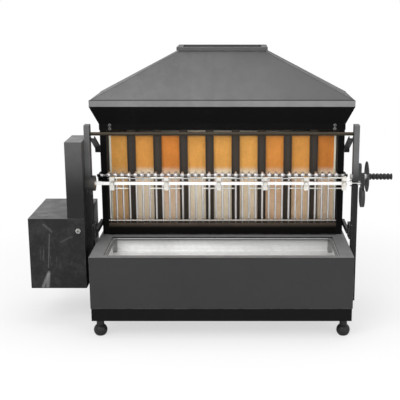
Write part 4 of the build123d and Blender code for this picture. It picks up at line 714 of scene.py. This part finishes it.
def folded_sheet(name, finish):
    """A copy of a sheet piece with its sharp edges softened as folding and deburring leave them."""
    shape = bmesh.new()
    shape.from_mesh(nodes[name].data)
    bmesh.ops.remove_doubles(shape, verts=shape.verts, dist=SAME_PLACE)
    bmesh.ops.dissolve_limit(shape, angle_limit=radians(1), verts=shape.verts, edges=shape.edges)
    sharp = [edge for edge in shape.edges
             if len(edge.link_faces) == 2 and edge.calc_face_angle() > SHARP_FOLD]
    bevelled(shape, sharp, FOLD_ROUNDING)
    return into_piece(shape, f"{name}_folded", finish, "frame", (name,))


def folded_sheets():
    """Soften every folded and welded sheet piece."""
    finish_of = {node: finish for finish, names in NODE_FINISHES.items() for node in names}
    for name in FOLDED:
        folded_sheet(name, finish_of[name])


def worn_bricks():
    """Firebricks with rounded, chipped edges; each vertex keeps its brick's tone and ashiness."""
    shape = bmesh.new()
    fired = shape.verts.layers.float.new("fired")
    ash = shape.verts.layers.float.new("ash")
    places = sorted(loose_parts("firebricks"), key=lambda box: box[0].x)
    for (low, high), tone, ashiness in zip(places, BRICK_TONES, BRICK_ASH):
        made = block(shape, low, high)
        edges = list({edge for vert in made for edge in vert.link_edges})
        bevelled(shape, edges, BRICK_ROUNDING)
        for vert in shape.verts:
            if low.x - BRICK_GAP / 2 < vert.co.x < high.x + BRICK_GAP / 2:
                vert[fired], vert[ash] = tone, ashiness
    long_edges = [edge for edge in shape.edges if edge.calc_length() > 10 * BRICK_ROUNDING]
    bmesh.ops.subdivide_edges(shape, edges=long_edges, cuts=BRICK_CUTS, use_grid_fill=True)
    narrow = (2 * BRICK_ROUNDING) ** 2
    for vert in shape.verts:
        near_edge = any(face.calc_area() < narrow for face in vert.link_faces)
        share = 1.0 if near_edge else BRICK_FACE_SHARE
        vert.co -= vert.normal * abs(noise.noise(vert.co * BRICK_CHIP_SCALE) * BRICK_CHIP * share)
    smooth_faces(shape)
    return into_piece(shape, "worn_firebricks", "brick", "frame", ("firebricks",))


def fibre_strips():
    """Packing strips with a soft, uneven face."""
    shape = bmesh.new()
    for low, high in loose_parts("packing_strips"):
        block(shape, low, high)
    for least, cuts in ((FIBRE_TALL, FIBRE_TALL_CUTS), (FIBRE_WIDE, FIBRE_WIDE_CUTS)):
        long_edges = [edge for edge in shape.edges if edge.calc_length() > least]
        bmesh.ops.subdivide_edges(shape, edges=long_edges, cuts=cuts, use_grid_fill=True)
    for vert in shape.verts:
        vert.co -= vert.normal * abs(noise.noise(vert.co * FIBRE_DENT_SCALE)) * FIBRE_DENT
    smooth_faces(shape)
    return into_piece(shape, "fibre_packing", "fibre", "frame", ("packing_strips",))


def folded_tray():
    """Tray folded up from sheet, with a flange, rounded bends and welded corners."""
    low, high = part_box("drip_tray")
    drop = high.z - low.z - TRAY_SHEET
    shape = bmesh.new()
    bmesh.ops.create_grid(shape, x_segments=1, y_segments=1, size=0.5)
    bmesh.ops.scale(shape, vec=(high.x - low.x, high.y - low.y, 1), verts=shape.verts)
    bmesh.ops.translate(shape, vec=((low.x + high.x) / 2, (low.y + high.y) / 2, high.z), verts=shape.verts)
    plate = shape.faces[:]
    bmesh.ops.inset_region(shape, faces=plate, thickness=TRAY_FLANGE + TRAY_SHEET, use_even_offset=True)
    pushed = bmesh.ops.extrude_face_region(shape, geom=plate)["geom"]
    bmesh.ops.delete(shape, geom=plate, context="FACES_ONLY")
    sunk = [item for item in pushed if isinstance(item, bmesh.types.BMVert)]
    bmesh.ops.translate(shape, vec=(0, 0, -drop), verts=sunk)
    corners = [edge for edge in shape.edges if abs(edge.verts[0].co.z - edge.verts[1].co.z) > drop / 2]
    bevelled(shape, corners, TRAY_CORNER, 5)
    bends = [edge for edge in shape.edges if edge.is_manifold and edge.calc_face_angle() > TRAY_SHARP]
    bevelled(shape, bends, TRAY_BEND, 4)
    for face in shape.faces:
        face.smooth = face.calc_area() < TRAY_FLAT_FACE
    tray = into_piece(shape, "folded_tray", "tray", "tray", ("drip_tray",))
    sheet = tray.modifiers.new("sheet", "SOLIDIFY")
    facing_up = max(tray.data.polygons, key=lambda face: face.area).normal.z > 0
    sheet.thickness, sheet.offset = TRAY_SHEET, -1 if facing_up else 1
    return tray


def hex_head(shape, seat, outward, radius, height):
    """A hexagonal head with a chamfered crown on a round washer."""
    turned = turned_to(seat, outward)
    bmesh.ops.create_cone(shape, cap_ends=True, segments=24, radius1=radius * WASHER_SPREAD,
                          radius2=radius * WASHER_SPREAD, depth=WASHER,
                          matrix=turned @ Matrix.Translation((0, 0, WASHER / 2)))
    head = bmesh.ops.create_cone(shape, cap_ends=True, segments=6, radius1=radius, radius2=radius,
                                 depth=height,
                                 matrix=turned @ Matrix.Translation((0, 0, WASHER + height / 2)))["verts"]
    top = (turned @ Vector((0, 0, WASHER + height))).dot(Vector(outward))
    crown = [edge for edge in {edge for vert in head for edge in vert.link_edges}
             if all(abs(vert.co.dot(Vector(outward)) - top) < 1e-5 for vert in edge.verts)]
    bevelled(shape, sorted(crown, key=lambda edge: edge.index), HEAD_CHAMFER, 1)


def screw_heads(node, name, finish):
    """Hexagonal heads in place of plain round ones; each points away from the grill's middle."""
    shape = bmesh.new()
    for low, high in loose_parts(node):
        middle, size = (low + high) / 2, high - low
        front = node == "hood_bolts" and middle.y < HOOD_MIDDLE_Y
        outward = (0, -1, 0) if front else (0, 1, 0)
        seat = (middle.x, high.y if front else low.y, middle.z)
        hex_head(shape, seat, outward, size.x / 2, size.y - WASHER)
    return into_piece(shape, name, finish, "frame", (node,))


def clamp_knob(number):
    """Knurled, dished knob on the clamp screw of one fork."""
    low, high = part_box(f"spit_fork_{number}")
    x = (low.x + high.x) / 2
    if number == 1:
        x = low.x + FORK_BLOCK / 2
    if number == FORKS:
        x = high.x - FORK_BLOCK / 2
    seat = Vector((x, low.y + KNOB_LENGTH, (low.z + high.z) / 2))
    shape = bmesh.new()
    middle = turned_to(seat, (0, -1, 0)) @ Matrix.Translation((0, 0, KNOB_LENGTH / 2))
    rim = bmesh.ops.create_cone(shape, cap_ends=True, segments=2 * KNURLS, radius1=KNOB_RADIUS,
                                radius2=KNOB_RADIUS, depth=KNOB_LENGTH, matrix=middle)
    for vert in rim["verts"]:
        turn = atan2(vert.co.z - seat.z, vert.co.x - seat.x) / tau * 2 * KNURLS
        if round(turn) % 2:
            inwards = Vector((seat.x - vert.co.x, 0, seat.z - vert.co.z)).normalized()
            vert.co += inwards * KNURL_DEPTH
    face = min(shape.faces, key=lambda face: face.calc_center_median().y)
    bmesh.ops.inset_region(shape, faces=[face], thickness=KNOB_RADIUS / 4)
    bmesh.ops.inset_region(shape, faces=[face], thickness=KNOB_RADIUS / 8, depth=-KNURL_DEPTH)
    piece = into_piece(shape, f"clamp_knob_{number}", "fork", f"fork_{number}")
    return piece


def grille_welds():
    """Weld beads where each upright of the grille crosses its cross rods and curls over its top rod."""
    low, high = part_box("charcoal_grille")
    back_y = high.y - 2 * GRILLE_ROD_RADIUS + WELD_BEAD / 2
    rows = ((back_y, low.z + GRILLE_LOW_ROD, WELD_BEAD), (back_y, high.z - GRILLE_THIN_ROD, WELD_BEAD),
            (low.y + CURL_FROM_FRONT, high.z - CURL_FROM_TOP, CURL_BEAD))
    size = Matrix.Diagonal(WELD_STRETCH)
    shape = bmesh.new()
    for y, z, bead in rows:
        aside = GRILLE_ROD_RADIUS * WELD_ASIDE[0] + bead * WELD_ASIDE[1]
        for index in range(-GRILLE_HALF_COUNT, GRILLE_HALF_COUNT + 1):
            for side in (-1, 1):
                x = MIDDLE_X + index * GRILLE_PITCH + side * aside
                bmesh.ops.create_uvsphere(shape, u_segments=8, v_segments=6, radius=bead,
                                          matrix=Matrix.Translation((x, y, z)) @ size)
    smooth_faces(shape)
    return into_piece(shape, "grille_welds", "weld", "grille")


def hood_seams():
    """Rippled weld beads down the four sloping edges of the hood."""
    low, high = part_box("hood_cone")
    neck_low, neck_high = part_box("flue_flange")
    shape = bmesh.new()
    for left in (True, False):
        for front in (True, False):
            foot = Vector((low.x if left else high.x, low.y if front else high.y, low.z))
            head_x = neck_low.x + FLANGE_OVERHANG if left else neck_high.x - FLANGE_OVERHANG
            head_y = neck_low.y + FLANGE_OVERHANG if front else neck_high.y - FLANGE_OVERHANG
            head = Vector((head_x, head_y, high.z))
            seam_bead(shape, foot, head)
    smooth_faces(shape)
    return into_piece(shape, "hood_seams", "hood", "frame")


def seam_bead(shape, foot, head):
    """One weld bead between two places, thicker and thinner along its length."""
    length = (head - foot).length
    turned = turned_to(foot, head - foot)
    bead = bmesh.ops.create_cone(shape, cap_ends=True, segments=8, radius1=SEAM_RADIUS, radius2=SEAM_RADIUS,
                                 depth=length, matrix=turned @ Matrix.Translation((0, 0, length / 2)))["verts"]
    long_edges = [edge for edge in shape.edges
                  if edge.calc_length() > length * 0.9 and edge.verts[0] in bead]
    cuts = int(4 * length / SEAM_RIPPLE)
    new = bmesh.ops.subdivide_edges(shape, edges=long_edges, cuts=cuts)["geom_inner"]
    axis = (head - foot).normalized()
    for vert in [item for item in new if isinstance(item, bmesh.types.BMVert)]:
        reach = vert.co - foot
        centre = foot + axis * reach.dot(axis)
        swell = 1 - SEAM_SWELL + SEAM_SWELL * sin(reach.dot(axis) / SEAM_RIPPLE * tau)
        vert.co = centre + (vert.co - centre) * swell


def white_studio():
    """World that is white to the camera and in reflections, and a soft grey light otherwise."""
    world = bpy.data.worlds.new("studio")
    bpy.context.scene.world = world
    world.use_nodes = True
    tree = world.node_tree
    ground = tree.nodes["Background"]
    path = tree.nodes.new("ShaderNodeLightPath").outputs
    seen = sums(tree, "MAXIMUM", path["Is Camera Ray"],
                sums(tree, "MAXIMUM", path["Is Glossy Ray"], path["Is Transmission Ray"]))
    level = place(tree, "ShaderNodeMapRange", Value=seen, To_Min=WORLD_LEVEL[0], To_Max=WORLD_LEVEL[1])
    ground.inputs["Color"].default_value = (1, 1, 1, 1)
    tree.links.new(level.outputs[0], ground.inputs["Strength"])


def pale_floor():
    """Pale floor that shades softly under the grill and turns white away from it."""
    shape = bmesh.new()
    bmesh.ops.create_grid(shape, x_segments=1, y_segments=1, size=FLOOR_HALF)
    mesh = bpy.data.meshes.new("floor")
    shape.to_mesh(mesh)
    shape.free()
    floor = bpy.data.objects.new("floor", mesh)
    bpy.context.scene.collection.objects.link(floor)
    material = bpy.data.materials.new("pale floor")
    material.use_nodes = True
    tree = material.node_tree
    tree.nodes.remove(tree.nodes["Principled BSDF"])
    matte = place(tree, "ShaderNodeBsdfDiffuse", Color=(0.9, 0.9, 0.9, 1))
    glow = place(tree, "ShaderNodeEmission", Color=(1, 1, 1, 1), Strength=1.0)
    seen = tree.nodes.new("ShaderNodeLightPath").outputs["Is Camera Ray"]
    where = place(tree, "ShaderNodeTexCoord").outputs["Object"]
    away = vectors(tree, "LENGTH", where, (0, 0, 0), "Value")
    lit = place(tree, "ShaderNodeMapRange", {"interpolation_type": "SMOOTHSTEP"}, Value=away,
                From_Min=FLOOR_SHADED[0], From_Max=FLOOR_SHADED[1], To_Min=FLOOR_GLOW[0],
                To_Max=FLOOR_GLOW[1])
    mixed = place(tree, "ShaderNodeMixShader", Fac=sums(tree, "MULTIPLY", seen, lit.outputs["Result"]))
    tree.links.new(matte.outputs[0], mixed.inputs[1])
    tree.links.new(glow.outputs[0], mixed.inputs[2])
    tree.links.new(mixed.outputs[0], tree.nodes["Material Output"].inputs["Surface"])
    mesh.materials.append(material)


def lamp(name, spot, aim, size, power, mirrored=True):
    """A soft rectangular lamp pointed at a place; polished metal may leave it out."""
    light = bpy.data.lights.new(name, "AREA")
    light.shape, light.size, light.energy = "SQUARE", size, power
    holder = bpy.data.objects.new(name, light)
    holder.location = spot
    holder.rotation_euler = (Vector(aim) - Vector(spot)).to_track_quat("-Z", "Y").to_euler()
    holder.visible_glossy = mirrored
    bpy.context.scene.collection.objects.link(holder)


def lights():
    """Key from the upper left, fill from the right, one into the firebox and one on the top of the hood."""
    lamp("key", (-1.8, -3.0, 3.0), (0.0, 0.0, 0.5), 2.2, 70)
    lamp("fill", (2.6, -2.6, 1.6), (0.0, 0.0, 0.5), 2.0, 22)
    lamp("front", (0.1, -3.6, 0.9), (0.04, 0.1, 0.5), 1.6, 34, False)
    lamp("top", (0.2, 0.3, 3.4), (0.0, 0.0, 0.8), 2.4, 40)


def camera():
    """Camera at the photograph's viewing angle."""
    data = bpy.data.cameras.new("camera")
    data.lens, data.sensor_width, data.shift_x = CAMERA_LENS, CAMERA_SENSOR, CAMERA_SHIFT
    holder = bpy.data.objects.new("camera", data)
    holder.location = CAMERA_PLACE
    holder.rotation_euler = (radians(90 - CAMERA_TILT), 0, 0)
    bpy.context.scene.collection.objects.link(holder)
    bpy.context.scene.camera = holder


finish_nodes()
folded_sheets()
worn_bricks()
fibre_strips()
folded_tray()
hood_seams()
grille_welds()
screw_heads("hood_bolts", "hood_hex_bolts", "black bolt")
screw_heads("cover_screws", "cover_hex_screws", "bolt")
for number in range(1, FORKS + 1):
    clamp_knob(number)
white_studio()
pale_floor()
lights()
camera()
bpy.context.scene.view_settings.view_transform = "Standard"
